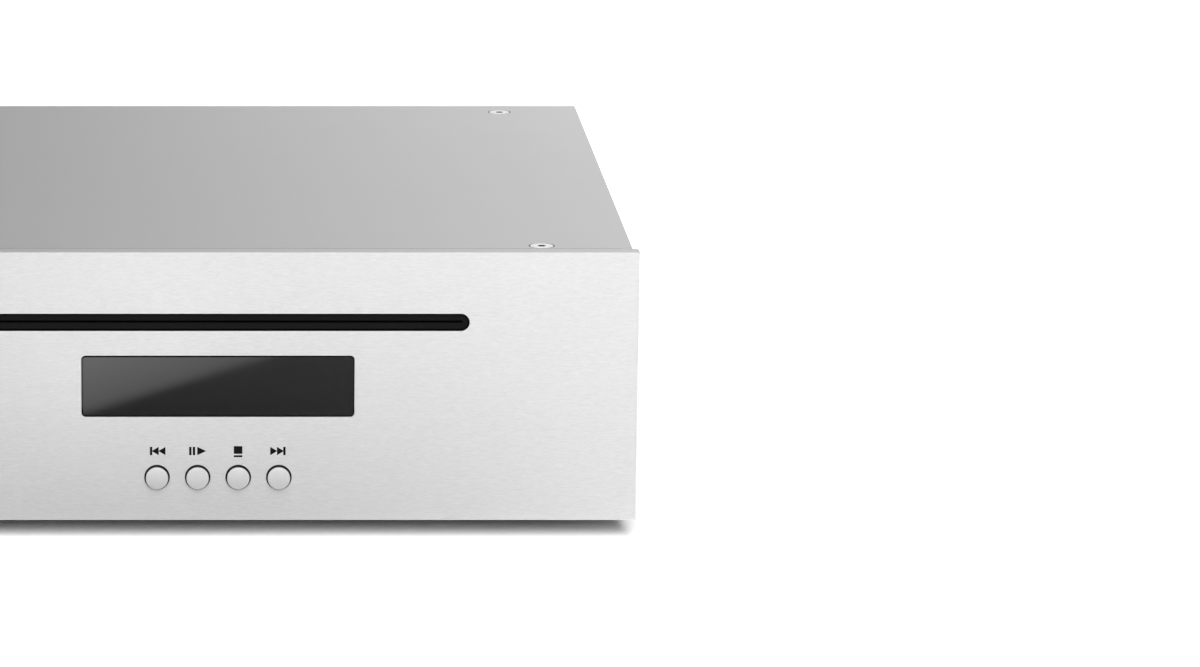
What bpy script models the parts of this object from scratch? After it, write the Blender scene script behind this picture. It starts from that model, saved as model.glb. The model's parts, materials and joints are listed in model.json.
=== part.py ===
"""Slot-loading disc player of half hi-fi width, modelled piece by piece.

Lengths are in metres. The face looks along -Y, +X is to the right and +Z is up.
The origin lies on the ground, under the middle of the whole player.
Sizes named ..._SETBACK run back from the piece that they are tied to, and ..._DROP run down
from the top of the player.
"""
import math

import bmesh
import bpy
from mathutils import Matrix, Vector

# Whole player
PLAYER_WIDTH = 0.2060
PLAYER_HEIGHT = 0.0720
BODY_DEPTH = 0.2105
JACK_REACH = 0.0085

# Fits
FIT_GAP = 0.0003
CUT_OVERRUN = 0.0010
ROUND_SIDES = 24
SMALL_SIDES = 16
SOCKET_SIDES = 6
ARM_END_STEPS = 8
SHARP_ANGLE = math.radians(30.0)

# Case
PANEL_THICK = 0.0043
PANEL_LIFT = 0.0046
CASE_SHEET = 0.0015
COVER_INSET = 0.0013
COVER_BEND = 0.0010
COVER_INNER_BEND = 0.0005
BEND_STEPS = 3
FLOOR_LIFT = 0.0006
SIDE_LIP_HEIGHT = 0.0080
REAR_OVERHANG = 0.0006
REAR_FLANGE = 0.0090

# Cover screws and the tabs that take them
SCREW_INSET = 0.0235
FRONT_SCREW_SETBACK = 0.0082
REAR_SCREW_INSET = 0.0103
SCREW_HEAD_RADIUS = 0.00295
SCREW_SHANK_RADIUS = 0.0015
SCREW_LENGTH = 0.0060
SCREW_SOCKET_RADIUS = 0.0011
SCREW_SOCKET_DEPTH = 0.0011
TAB_WIDTH = 0.0140
TAB_MARGIN = 0.0045

# Rubber feet
FOOT_RADIUS = 0.0075
FOOT_TAPER = 0.0006
FOOT_STEM_RADIUS = 0.0022
FOOT_STEM_RISE = 0.0018
FOOT_STEM_CLEARANCE = 0.0015
FOOT_SETBACK = 0.0300

# Disc slot and its felt seal
SLOT_WIDTH = 0.1232
SLOT_HEIGHT = 0.0043
SLOT_DROP = 0.01755
SLOT_END_STEPS = 8
FELT_RECESS = 0.0008
FELT_THICK = 0.0015
FELT_SLIT_WIDTH = 0.1197
FELT_SLIT_HEIGHT = 0.0006
WALL_SLOT_MARGIN = 0.0015

# Display window
WINDOW_WIDTH = 0.0670
WINDOW_HEIGHT = 0.0154
WINDOW_CORNER = 0.0010
WINDOW_CORNER_STEPS = 3
WINDOW_RECESS = 0.0001
WINDOW_LIP = 0.0020
WINDOW_LIP_THICK = 0.0018

# Push buttons
BUTTON_NAMES = ("previous", "play_pause", "stop_eject", "next")
BUTTON_HOLE_RADIUS = 0.00315
BUTTON_PITCH = 0.0100
BUTTON_RISE_SHARE = 0.4157
BUTTON_PROUD = 0.0016
BUTTON_GAP = 0.0004
BUTTON_EDGE = 0.0002
BUTTON_FLANGE_OVERHANG = 0.00065
BUTTON_FLANGE_THICK = 0.0010
BUTTON_STEM_RADIUS = 0.0015
BUTTON_STEM_ENTRY = 0.0009
STANDBY_INSET = 0.0200
LIGHT_RISE = 0.00665
LIGHT_RADIUS = 0.0010

# Front board, tact switches and display module
BOARD_THICK = 0.0016
FRONT_BOARD_SETBACK = 0.0052
FRONT_BOARD_MARGIN = 0.0100
FRONT_BOARD_RISE_SHARE = 0.2571
FRONT_BOARD_ABOVE = 0.0010
BOSS_RADIUS = 0.0022
BOSS_INSET = 0.0032
DISPLAY_WIDTH = 0.0740
DISPLAY_HEIGHT = 0.0200
DISPLAY_FALL = 0.0039
DISPLAY_MARGIN = 0.0070
SWITCH_SIDE = 0.0060
SWITCH_DEPTH = 0.0035
SWITCH_WELL_DEPTH = 0.0022
SWITCH_WELL_CLEARANCE = 0.0004
CONNECTOR_WIDTH = 0.0140
CONNECTOR_HEIGHT = 0.0030
CONNECTOR_DEPTH = 0.0035

# Loader base and top plate
BOARD_TO_LOADER = 0.0051
LOADER_LENGTH = 0.1540
LOADER_HALF_WIDTH = 0.0720
LOADER_SHEET = 0.0012
LOADER_BASE_DROP = 0.0368
LEG_LENGTH = 0.0100
LEG_SETBACK = 0.0060
LEG_FOOT_SHARE = 0.3704
LEG_ARCH = 0.0030
TOP_PLATE_SHEET = 0.0010
TOP_PLATE_INSET = 0.0045
PUCK_OPENING_RADIUS = 0.0180

# Disc and its path
DISC_RADIUS = 0.0600
DISC_THICK = 0.0012
DISC_DROP = 0.00285
DISC_NIP = 0.0030

# Roller and its bracket
ROLLER_SETBACK = 0.0150
ROLLER_RADIUS = 0.0050
ROLLER_WAIST_RADIUS = 0.0043
ROLLER_END_ROOM = 0.0115
ROLLER_HALF_LENGTH = LOADER_HALF_WIDTH - ROLLER_END_ROOM
ROLLER_SHAFT_RADIUS = 0.0015
GUIDE_RAIL_HEIGHT = 0.00365
GUIDE_RAIL_DEPTH = 0.0100
GUIDE_RAIL_END_ROOM = 0.0080
GUIDE_RAIL_HALF_WIDTH = LOADER_HALF_WIDTH - GUIDE_RAIL_END_ROOM
BRACKET_ARM_THICK = 0.0012
BRACKET_ARM_GAP = 0.0033
BRACKET_ARM_RADIUS = 0.0036
BRACKET_PIVOT_SETBACK = 0.0200
BRACKET_PIVOT_FALL = 0.00385
BRACKET_PIVOT_RADIUS = 0.0015
BRACKET_TAIL = 0.0185
BRACKET_FINGER_WIDTH = 0.0030
BRACKET_WEB_FALL = 0.0038
BRACKET_WEB_LENGTH = 0.0110
BRACKET_SWING = math.radians(10.5)

# Gears
GEAR_MODULE = 0.0008
GEAR_BACKLASH = 0.0004
ADDENDUM_SHARE = 0.80
DEDENDUM_SHARE = 1.20
FLANK_SHARE = 0.364
ROOT_FILL_SHARE = 0.85
GEAR_WIDTH = 0.0030
GEAR_WALL_GAP = 0.0008
ROLLER_TEETH = 16
IDLER_TEETH = 16
MOTOR_TEETH = 10
IDLER_AXLE_RADIUS = 0.0012
IDLER_LEAN = math.radians(11.0)

# Loading motor
MOTOR_RADIUS = 0.0080
MOTOR_LENGTH_SHARE = 0.7037
MOTOR_SHAFT_RADIUS = 0.0010
MOTOR_SHAFT_REACH = 0.0060
MOTOR_LUG_MARGIN = 0.0015

# Cam slide
CAM_THICK = 0.0025
CAM_TRAVEL = 0.0120
CAM_FOOT_FALL = 0.0070
CAM_BAR_FALL = 0.0023
CAM_NOSE = 0.0060
CAM_TOWER_FRONT = 0.0080
CAM_TOWER_BACK = 0.0160
CAM_PEG_RADIUS = 0.0015
CAM_PEG_SPACING = 0.0350
CAM_PEG_RISE = 0.0030

# Clamp arm, puck and spring
CLAMP_REACH = 0.0600
CLAMP_SWING = math.radians(5.5)
CLAMP_PLATE_THICK = 0.0012
CLAMP_HALF_WIDTH = 0.0110
CLAMP_PIVOT_RISE = 0.0034
CLAMP_PLATE_SETBACK = 0.0040
CLAMP_FLANGE_LENGTH = 0.0330
CLAMP_FLANGE_RISE = 0.0020
CLAMP_FLANGE_TAIL = 0.0028
CLAMP_PIN_RADIUS = 0.0012
CLAMP_EAR_GAP = 0.0025
CLAMP_FINGER_SETBACK = 0.0200
CLAMP_FINGER_WIDTH = 0.0040
PUCK_RADIUS = 0.0140
PUCK_THICK = 0.0025
PUCK_NECK_RADIUS = 0.0042
PUCK_NECK_CLEARANCE = 0.0008
PUCK_CAP_RADIUS = 0.0070
PUCK_CAP_THICK = 0.0012
SPRING_WIRE_RADIUS = 0.0003
SPRING_COIL_RADIUS = 0.0021
SPRING_TURNS = 4
SPRING_TURN_POINTS = 10
SPRING_PITCH = 0.0011
SPRING_LEG_GAP = 0.0006
SPRING_LEG = 0.0120

# Turntable and spindle motor
TURNTABLE_RADIUS = 0.0150
TURNTABLE_THICK = 0.0020
TURNTABLE_HUB_RADIUS = 0.0040
CONE_BASE_RADIUS = 0.0074
CONE_TOP_RADIUS = 0.0060
SPINDLE_SHAFT_RADIUS = 0.0010
SPINDLE_SHAFT_REACH = 0.0058
SPINDLE_MOTOR_RADIUS = 0.0120
SPINDLE_MOTOR_HEIGHT = 0.0110
SPINDLE_HOLE_RADIUS = 0.0060
HUB_GAP = 0.0003

# Traverse chassis and its dampers
TRAVERSE_SHEET = 0.0015
TRAVERSE_DROP = 0.0035
TRAVERSE_SIDE_ROOM = 0.0140
TRAVERSE_LEFT = LOADER_HALF_WIDTH - TRAVERSE_SIDE_ROOM
TRAVERSE_RIGHT = 0.0460
TRAVERSE_FRONT = 0.0180
TRAVERSE_BACK = 0.0800
WELL_LEFT_RIM = 0.0100
WELL_LEFT = TRAVERSE_LEFT - WELL_LEFT_RIM
WELL_RIGHT = 0.0320
WELL_FRONT = 0.0140
WELL_BACK = 0.0760
DAMPER_RADIUS = 0.0045
DAMPER_WAIST_RADIUS = 0.0032
DAMPER_EDGE = 0.0050
DAMPER_RIM = 0.0030
DAMPER_SIDE_EDGE = 0.0072

# Guide rods and pickup
ROD_RADIUS = 0.0015
ROD_HALF_SPACING = 0.0220
ROD_FALL = 0.0025
ROD_BOSS_LENGTH = 0.0050
ROD_BOSS_HALF_WIDTH = 0.0030
ROD_BOSS_HEIGHT = 0.0050
ROD_END_GAP = 0.0010
PICKUP_HOME = 0.0230
PICKUP_TRAVEL = 0.0355
PICKUP_AHEAD = 0.0100
PICKUP_BEHIND = 0.0140
PICKUP_HALF_WIDTH = 0.0260
PICKUP_PLATE_GAP = 0.0006
PICKUP_BODY_HEIGHT = 0.0048
PICKUP_TOWER_HALF_WIDTH = 0.0130
PICKUP_TOWER_HALF_LENGTH = 0.0090
PICKUP_TOWER_RISE = 0.0028
PICKUP_WINDOW_MARGIN = 0.0020
ROD_BORE_GAP = 0.0003
LENS_RADIUS = 0.0040
LENS_HEIGHT = 0.0031
LENS_RISE = 0.0011
LENS_CROWN = 0.0007
LENS_CROWN_RADIUS = 0.0024
LENS_TRAVEL = 0.0005
LENS_WELL_CLEARANCE = 0.0006

# Sled drive
RACK_TEETH_SHARE = 0.5
RACK_BAR = 0.0014
RACK_HEIGHT = 0.0024
SLED_SETBACK = 0.0350
SLED_PINION_TEETH = 12
SLED_WHEEL_TEETH = 28
SLED_MOTOR_TEETH = 10
SLED_WHEEL_THICK = 0.0023
SLED_WHEEL_GAP = 0.0007
SLED_AXLE_RADIUS = 0.0010
SLED_COLLAR_RADIUS = 0.0022
SLED_MOTOR_ANGLE = math.radians(134.5)
SLED_MOTOR_RADIUS = 0.0080
SLED_MOTOR_FLOOR = 0.0003
SLED_SHAFT_RADIUS = 0.0008
SLED_SHAFT_REACH = 0.0035

# Main board
MAIN_BOARD_SIDE_ROOM = 0.0030
MAIN_BOARD_HALF_WIDTH = LOADER_HALF_WIDTH - MAIN_BOARD_SIDE_ROOM
MAIN_BOARD_SETBACK = 0.0440
MAIN_BOARD_LIFT = 0.0040
MAIN_BOARD_BACK_GAP = 0.0028
PILLAR_RADIUS = 0.0030
PILLAR_INSET = 0.0050
CHIP_SIDE = 0.0140
CHIP_HEIGHT = 0.0016
CAPACITOR_RADIUS = 0.0050
CAPACITOR_HEIGHT_SHARE = 0.5607
CAPACITOR_PITCH = 0.0150
CAPACITOR_COUNT = 3
CAPACITOR_SETBACK = 0.0140
CABLE_WIDTH = 0.0120
CABLE_THICK = 0.0004
CABLE_SAG = 0.0020
CABLE_STEPS = 12

# Rear sockets
JACK_RADIUS = 0.00415
JACK_BORE_RADIUS = 0.0017
JACK_BORE_DEPTH = 0.0080
JACK_SPACING = 0.0140
JACK_PAIR_X = -0.0450
JACK_RISE = 0.0069
JACK_HOUSING_WIDTH = 0.0270
JACK_HOUSING_HEIGHT = 0.0132
JACK_HOUSING_DEPTH = 0.0160
OPTICAL_X = 0.0080
OPTICAL_WIDTH = 0.0125
OPTICAL_HEIGHT = 0.0110
OPTICAL_DEPTH = 0.0150
OPTICAL_WALL = 0.0015
OPTICAL_CAVITY_DEPTH = 0.0105
SHUTTER_THICK = 0.0008
SHUTTER_RECESS = 0.0005
SHUTTER_CLEARANCE = 0.0003
SHUTTER_FOOT_GAP = 0.0006
INLET_X = 0.0500
INLET_WIDTH = 0.0100
INLET_HEIGHT = 0.0110
INLET_DEPTH = 0.0150
INLET_BORE_RADIUS = 0.0032
INLET_BORE_DEPTH = 0.0090
INLET_PIN_RADIUS = 0.0011
INLET_PIN_SHORT = 0.0010

# Planes that several pieces share
FACE_Y = (BUTTON_PROUD - BODY_DEPTH - JACK_REACH) / 2
REAR_Y = FACE_Y + BODY_DEPTH
PANEL_HALF = PLAYER_WIDTH / 2
PANEL_BACK_Y = FACE_Y + PANEL_THICK
CASE_FRONT_Y = PANEL_BACK_Y + FIT_GAP
WALL_BACK_Y = CASE_FRONT_Y + CASE_SHEET
REAR_PANEL_BACK_Y = REAR_Y - REAR_OVERHANG
REAR_PANEL_FRONT_Y = REAR_PANEL_BACK_Y - CASE_SHEET
COVER_HALF = PANEL_HALF - COVER_INSET
COVER_INNER_HALF = COVER_HALF - CASE_SHEET
CHASSIS_HALF = COVER_INNER_HALF - FIT_GAP
COVER_INNER_Z = PLAYER_HEIGHT - CASE_SHEET
CHASSIS_TOP_Z = COVER_INNER_Z - FIT_GAP
FLOOR_BOTTOM_Z = PANEL_LIFT + FLOOR_LIFT
FLOOR_Z = FLOOR_BOTTOM_Z + CASE_SHEET
SCREW_X = PANEL_HALF - SCREW_INSET
FRONT_SCREW_Y = FACE_Y + FRONT_SCREW_SETBACK
REAR_SCREW_Y = REAR_Y - REAR_SCREW_INSET
TAB_HOLE_RADIUS = SCREW_SHANK_RADIUS + FIT_GAP
FOOT_ROWS = {"front": FACE_Y + FOOT_SETBACK, "rear": REAR_Y - FOOT_SETBACK}
SIDES = {"left": -1, "right": 1}

SLOT_Z = PLAYER_HEIGHT - SLOT_DROP
WINDOW_Z = SLOT_Z - SLOT_HEIGHT / 2 - DISPLAY_FALL - DISPLAY_HEIGHT / 2
WINDOW_BOTTOM_Z = WINDOW_Z - WINDOW_HEIGHT / 2
BUTTON_Z = PANEL_LIFT + BUTTON_RISE_SHARE * (WINDOW_BOTTOM_Z - PANEL_LIFT)
LIGHT_Z = BUTTON_Z + LIGHT_RISE
STANDBY_X = STANDBY_INSET - PANEL_HALF
BUTTON_FLANGE_RADIUS = BUTTON_HOLE_RADIUS + BUTTON_FLANGE_OVERHANG
WALL_HOLE_RADIUS = BUTTON_FLANGE_RADIUS + CUT_OVERRUN
FRONT_BOARD_Y = WALL_BACK_Y + FRONT_BOARD_SETBACK
FRONT_BOARD_BACK_Y = FRONT_BOARD_Y + BOARD_THICK
FRONT_BOARD_LEFT = STANDBY_X - FRONT_BOARD_MARGIN
FRONT_BOARD_RIGHT = DISPLAY_WIDTH / 2 + DISPLAY_MARGIN
FRONT_BOARD_BOTTOM = FLOOR_Z + FRONT_BOARD_RISE_SHARE * (BUTTON_Z - FLOOR_Z)
FRONT_BOARD_TOP = WINDOW_Z + DISPLAY_HEIGHT / 2 + FRONT_BOARD_ABOVE
SWITCH_FRONT_Y = FRONT_BOARD_Y - FIT_GAP - SWITCH_DEPTH

LOADER_Y = FRONT_BOARD_BACK_Y + BOARD_TO_LOADER
LOADER_BACK_Y = LOADER_Y + LOADER_LENGTH
ROLLER_Y = LOADER_Y + ROLLER_SETBACK
SPINDLE_Y = ROLLER_Y + DISC_RADIUS - DISC_NIP
ROLLER_Z = SLOT_Z - DISC_THICK / 2 - ROLLER_RADIUS
RAIL_Z = SLOT_Z + DISC_THICK / 2 + FIT_GAP
TOP_PLATE_Z = RAIL_Z + GUIDE_RAIL_HEIGHT + FIT_GAP
TOP_PLATE_TOP_Z = TOP_PLATE_Z + TOP_PLATE_SHEET
WALL_TOP_Z = TOP_PLATE_Z - FIT_GAP
LOADER_BASE_Z = PLAYER_HEIGHT - LOADER_BASE_DROP
LOADER_BASE_BOTTOM_Z = LOADER_BASE_Z - LOADER_SHEET
LOADER_OUTER_HALF = LOADER_HALF_WIDTH + LOADER_SHEET
SIDE_BAY_WIDTH = COVER_INNER_HALF - LOADER_OUTER_HALF
LEG_FOOT = SIDE_BAY_WIDTH * LEG_FOOT_SHARE
MOTOR_LENGTH = SIDE_BAY_WIDTH * MOTOR_LENGTH_SHARE
FOOT_X = LOADER_OUTER_HALF + LEG_FOOT + FOOT_STEM_CLEARANCE + FOOT_STEM_RADIUS
TURNTABLE_Z = SLOT_Z - DISC_THICK / 2 - DISC_DROP
TRAVERSE_TOP_Z = TURNTABLE_Z - TRAVERSE_DROP
TRAVERSE_Z = TRAVERSE_TOP_Z - TRAVERSE_SHEET

BRACKET_ARM_X = ROLLER_HALF_LENGTH + BRACKET_ARM_GAP
BRACKET_OUTER_X = BRACKET_ARM_X + BRACKET_ARM_THICK
BRACKET_PIVOT_Y = ROLLER_Y + BRACKET_PIVOT_SETBACK
BRACKET_PIVOT_Z = ROLLER_Z - BRACKET_PIVOT_FALL
GEAR_OUTER_X = LOADER_HALF_WIDTH - GEAR_WALL_GAP
GEAR_INNER_X = GEAR_OUTER_X - GEAR_WIDTH
CAM_OUTER_X = LOADER_HALF_WIDTH - FIT_GAP
CAM_INNER_X = CAM_OUTER_X - CAM_THICK
CLAMP_PIVOT_Y = SPINDLE_Y + CLAMP_REACH
CLAMP_PLATE_Z = TOP_PLATE_TOP_Z + FIT_GAP
CLAMP_PLATE_TOP_Z = CLAMP_PLATE_Z + CLAMP_PLATE_THICK
CLAMP_PIVOT_Z = CLAMP_PLATE_Z + CLAMP_PIVOT_RISE
MAIN_BOARD_Z = FLOOR_Z + MAIN_BOARD_LIFT + FIT_GAP
MAIN_BOARD_TOP_Z = MAIN_BOARD_Z + BOARD_THICK
MAIN_BOARD_FRONT_Y = LOADER_Y + MAIN_BOARD_SETBACK
MAIN_BOARD_BACK_Y = REAR_PANEL_FRONT_Y - MAIN_BOARD_BACK_GAP
CAPACITOR_HEIGHT = (LOADER_BASE_BOTTOM_Z - MAIN_BOARD_TOP_Z) * CAPACITOR_HEIGHT_SHARE
SOCKET_Z = MAIN_BOARD_TOP_Z + FIT_GAP
SOCKET_BACK_Y = REAR_PANEL_FRONT_Y - FIT_GAP

# Finishes: colour, roughness and metallic value
FINISHES = {
    "brushed_aluminium": ((0.78, 0.78, 0.78), 0.38, 0.9),
    "cover_grey": ((0.52, 0.52, 0.52), 0.45, 0.8),
    "black_felt": ((0.012, 0.012, 0.012), 0.95, 0.0),
    "window_acrylic": ((0.030, 0.030, 0.030), 0.08, 0.0),
    "zinc_sheet": ((0.60, 0.61, 0.62), 0.40, 0.9),
    "screw_steel": ((0.82, 0.82, 0.80), 0.25, 1.0),
    "black_rubber": ((0.018, 0.018, 0.018), 0.85, 0.0),
    "button_aluminium": ((0.74, 0.74, 0.74), 0.36, 0.9),
    "clear_acrylic": ((0.80, 0.82, 0.85), 0.10, 0.0),
    "circuit_board": ((0.02, 0.14, 0.06), 0.45, 0.0),
    "black_plastic": ((0.020, 0.020, 0.020), 0.50, 0.0),
    "white_plastic": ((0.78, 0.77, 0.73), 0.45, 0.0),
    "display_glass": ((0.02, 0.03, 0.04), 0.10, 0.0),
    "motor_steel": ((0.55, 0.55, 0.56), 0.35, 1.0),
    "spring_steel": ((0.50, 0.50, 0.51), 0.30, 1.0),
    "polished_rod": ((0.75, 0.75, 0.76), 0.12, 1.0),
    "lens_glass": ((0.45, 0.55, 0.75), 0.05, 0.0),
    "cable_white": ((0.80, 0.80, 0.80), 0.50, 0.0),
}


def clear_scene():
    """Remove whatever the scene holds."""
    for old in list(bpy.data.objects):
        bpy.data.objects.remove(old, do_unlink=True)


def finish_material(finish):
    """The Principled material of one finish, made once."""
    existing = bpy.data.materials.get(finish)
    if existing:
        return existing
    colour, roughness, metallic = FINISHES[finish]
    material = bpy.data.materials.new(finish)
    material.use_nodes = True
    shader = material.node_tree.nodes["Principled BSDF"]
    shader.inputs["Base Color"].default_value = (*colour, 1.0)
    shader.inputs["Roughness"].default_value = roughness
    shader.inputs["Metallic"].default_value = metallic
    return material


# Solids in world coordinates


def solid_from(bm, label):
    """An object that holds the bmesh, with its faces turned outward."""
    bmesh.ops.recalc_face_normals(bm, faces=bm.faces)
    mesh = bpy.data.meshes.new(label)
    bm.to_mesh(mesh)
    bm.free()
    solid = bpy.data.objects.new(label, mesh)
    bpy.context.scene.collection.objects.link(solid)
    return solid


def prism(axis, outline, low, high):
    """A flat outline drawn out along an axis.

    The outline holds (y, z) points for X, (x, z) points for Y and (x, y) points for Z.
    """
    place = {
        "X": lambda u, v, w: (w, u, v),
        "Y": lambda u, v, w: (u, w, v),
        "Z": lambda u, v, w: (u, v, w),
    }[axis]
    bm = bmesh.new()
    face = bm.faces.new([bm.verts.new(place(u, v, low)) for u, v in outline])
    drawn = bmesh.ops.extrude_face_region(bm, geom=[face])
    moved = [item for item in drawn["geom"] if isinstance(item, bmesh.types.BMVert)]
    bmesh.ops.translate(bm, verts=moved, vec=place(0, 0, high - low))
    return solid_from(bm, "prism")


def box(x, y, z):
    """A block between pairs of lowest and highest coordinates."""
    outline = [(x[0], y[0]), (x[1], y[0]), (x[1], y[1]), (x[0], y[1])]
    return prism("Z", outline, z[0], z[1])


def turned(axis, centre, profile, sides=ROUND_SIDES):
    """A turned solid: its profile lists (radius, coordinate on the axis) from end to end."""
    along = {"X": Vector((1, 0, 0)), "Y": Vector((0, 1, 0)), "Z": Vector((0, 0, 1))}[axis]
    outward = Vector((0, 0, 1)) if axis != "Z" else Vector((1, 0, 0))
    middle = {
        "X": Vector((0, centre[0], centre[1])),
        "Y": Vector((centre[0], 0, centre[1])),
        "Z": Vector((centre[0], centre[1], 0)),
    }[axis]
    bm = bmesh.new()
    places = [middle + radius * outward + station * along for radius, station in profile]
    verts = [bm.verts.new(place) for place in places]
    edges = [bm.edges.new(pair) for pair in zip(verts, verts[1:])]
    bmesh.ops.spin(
        bm,
        geom=verts + edges,
        cent=middle,
        axis=along,
        angle=math.tau,
        steps=sides,
        use_merge=True,
    )
    bmesh.ops.holes_fill(bm, edges=[edge for edge in bm.edges if edge.is_boundary], sides=0)
    return solid_from(bm, "turned")


def cylinder(axis, centre, radius, low, high, sides=ROUND_SIDES):
    """A plain cylinder along an axis."""
    return turned(axis, centre, [(radius, low), (radius, high)], sides)


def combine(body, tools, operation):
    """Apply one Boolean with each tool, then remove the tools."""
    for tool in tools:
        modifier = body.modifiers.new("combine", "BOOLEAN")
        modifier.operation = operation
        modifier.object = tool
    bpy.context.view_layer.update()
    evaluated = body.evaluated_get(bpy.context.evaluated_depsgraph_get())
    mesh = bpy.data.meshes.new_from_object(evaluated)
    body.modifiers.clear()
    body.data = mesh
    for tool in tools:
        bpy.data.objects.remove(tool, do_unlink=True)
    return body


def unite(body, *tools):
    """Fuse the tools to the body."""
    return combine(body, tools, "UNION")


def carve(body, *tools):
    """Cut the tools out of the body."""
    return combine(body, tools, "DIFFERENCE")


def node(name, body, finish, origin=(0, 0, 0)):
    """Name a finished solid, give it its material and put its origin in place."""
    body.name = name
    body.data.name = name
    body.data.materials.clear()
    body.data.materials.append(finish_material(finish))
    body.data.transform(Matrix.Translation(-Vector(origin)))
    body.location = origin
    body.data.shade_smooth()
    body.data.set_sharp_from_angle(angle=SHARP_ANGLE)
    return body


def carry(child, parent):
    """Make a piece ride on another that isn't turned yet."""
    child.parent = parent
    child.location = child.location - parent.location
    return child


def rounded_outline(half_width, low, high, radius, steps, centre=0):
    """A rectangle with round corners."""
    corners = (
        (centre + half_width - radius, high - radius, 0),
        (centre - half_width + radius, high - radius, 1),
        (centre - half_width + radius, low + radius, 2),
        (centre + half_width - radius, low + radius, 3),
    )
    points = []
    for u, v, quarter in corners:
        for step in range(steps + 1):
            angle = math.pi / 2 * (quarter + step / steps)
            points.append((u + radius * math.cos(angle), v + radius * math.sin(angle)))
    return points


def stadium(half_width, centre, half_height, steps):
    """A slot outline with fully round ends."""
    points = []
    for side in (1, -1):
        for step in range(steps + 1):
            angle = math.pi * (step / steps - 0.5)
            across = half_width - half_height + half_height * math.cos(angle)
            points.append((side * across, centre + side * half_height * math.sin(angle)))
    return points


# Gears


def tooth_half_widths():
    """Half the width of a tooth at its root and at its tip."""
    at_pitch = (math.pi * GEAR_MODULE / 2 - GEAR_BACKLASH) / 2
    root = at_pitch + GEAR_MODULE * DEDENDUM_SHARE * FLANK_SHARE
    tip = at_pitch - GEAR_MODULE * ADDENDUM_SHARE * FLANK_SHARE
    return root, tip


def pitch_radius(teeth):
    """Pitch radius of a gear with this many teeth."""
    return teeth * GEAR_MODULE / 2


def gear_outline(centre, teeth, phase):
    """Outline of a gear that has a tooth at the phase angle."""
    root_half, tip_half = tooth_half_widths()
    root_radius = pitch_radius(teeth) - GEAR_MODULE * DEDENDUM_SHARE
    tip_radius = pitch_radius(teeth) + GEAR_MODULE * ADDENDUM_SHARE
    root_half = min(root_half, root_radius * math.pi / teeth * ROOT_FILL_SHARE)
    points = []
    for tooth in range(teeth):
        middle = phase + math.tau * tooth / teeth
        for radius, half, side in (
            (root_radius, root_half, -1),
            (tip_radius, tip_half, -1),
            (tip_radius, tip_half, 1),
            (root_radius, root_half, 1),
        ):
            angle = middle + side * half / radius
            points.append((centre[0] + radius * math.cos(angle), centre[1] + radius * math.sin(angle)))
    return points


def mesh_phase(driver_phase, driver_teeth, teeth, direction):
    """Phase of a gear in mesh with a driver, seen in this direction from the driver's centre."""
    offset = (driver_phase - direction) * driver_teeth / teeth
    return direction + math.pi - offset + math.pi / teeth


def step_from(centre, distance, angle):
    """The point at a distance and an angle from a centre."""
    return centre[0] + distance * math.cos(angle), centre[1] + distance * math.sin(angle)


# Case


def front_panel():
    """The thick front plate with its slot, window opening and button holes."""
    z = (PANEL_LIFT, PLAYER_HEIGHT)
    plate = box((-PANEL_HALF, PANEL_HALF), (FACE_Y, PANEL_BACK_Y), z)
    through = (FACE_Y - CUT_OVERRUN, PANEL_BACK_Y + CUT_OVERRUN)
    slot = stadium(SLOT_WIDTH / 2, SLOT_Z, SLOT_HEIGHT / 2, SLOT_END_STEPS)
    opening = rounded_outline(
        WINDOW_WIDTH / 2,
        WINDOW_BOTTOM_Z,
        WINDOW_Z + WINDOW_HEIGHT / 2,
        WINDOW_CORNER,
        WINDOW_CORNER_STEPS,
    )
    pocket_y = PANEL_BACK_Y - WINDOW_LIP_THICK - FIT_GAP
    pocket = box(
        (-WINDOW_WIDTH / 2 - WINDOW_LIP, WINDOW_WIDTH / 2 + WINDOW_LIP),
        (pocket_y, PANEL_BACK_Y + CUT_OVERRUN),
        (WINDOW_BOTTOM_Z - WINDOW_LIP, WINDOW_Z + WINDOW_HEIGHT / 2 + WINDOW_LIP),
    )
    cuts = [prism("Y", slot, *through), prism("Y", opening, *through), pocket]
    for x in (*BUTTON_XS, STANDBY_X):
        cuts.append(cylinder("Y", (x, BUTTON_Z), BUTTON_HOLE_RADIUS, *through))
    light_hole = LIGHT_RADIUS + FIT_GAP
    cuts.append(cylinder("Y", (STANDBY_X, LIGHT_Z), light_hole, *through, SMALL_SIDES))
    carve(plate, *cuts)
    return node("front_panel", plate, "brushed_aluminium", (0, FACE_Y, PANEL_LIFT))


def display_window():
    """The dark window: it fills the opening and its lip sits in the pocket behind."""
    half = WINDOW_WIDTH / 2 - FIT_GAP
    low = WINDOW_BOTTOM_Z + FIT_GAP
    high = WINDOW_Z + WINDOW_HEIGHT / 2 - FIT_GAP
    corner = WINDOW_CORNER - FIT_GAP
    outline = rounded_outline(half, low, high, corner, WINDOW_CORNER_STEPS)
    glass = prism("Y", outline, FACE_Y + WINDOW_RECESS, PANEL_BACK_Y)
    lip = box(
        (FIT_GAP - WINDOW_WIDTH / 2 - WINDOW_LIP, WINDOW_WIDTH / 2 + WINDOW_LIP - FIT_GAP),
        (PANEL_BACK_Y - WINDOW_LIP_THICK, PANEL_BACK_Y),
        (low - WINDOW_LIP, high + WINDOW_LIP),
    )
    unite(glass, lip)
    return node("display_window", glass, "window_acrylic", (0, FACE_Y + WINDOW_RECESS, WINDOW_Z))


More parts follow.
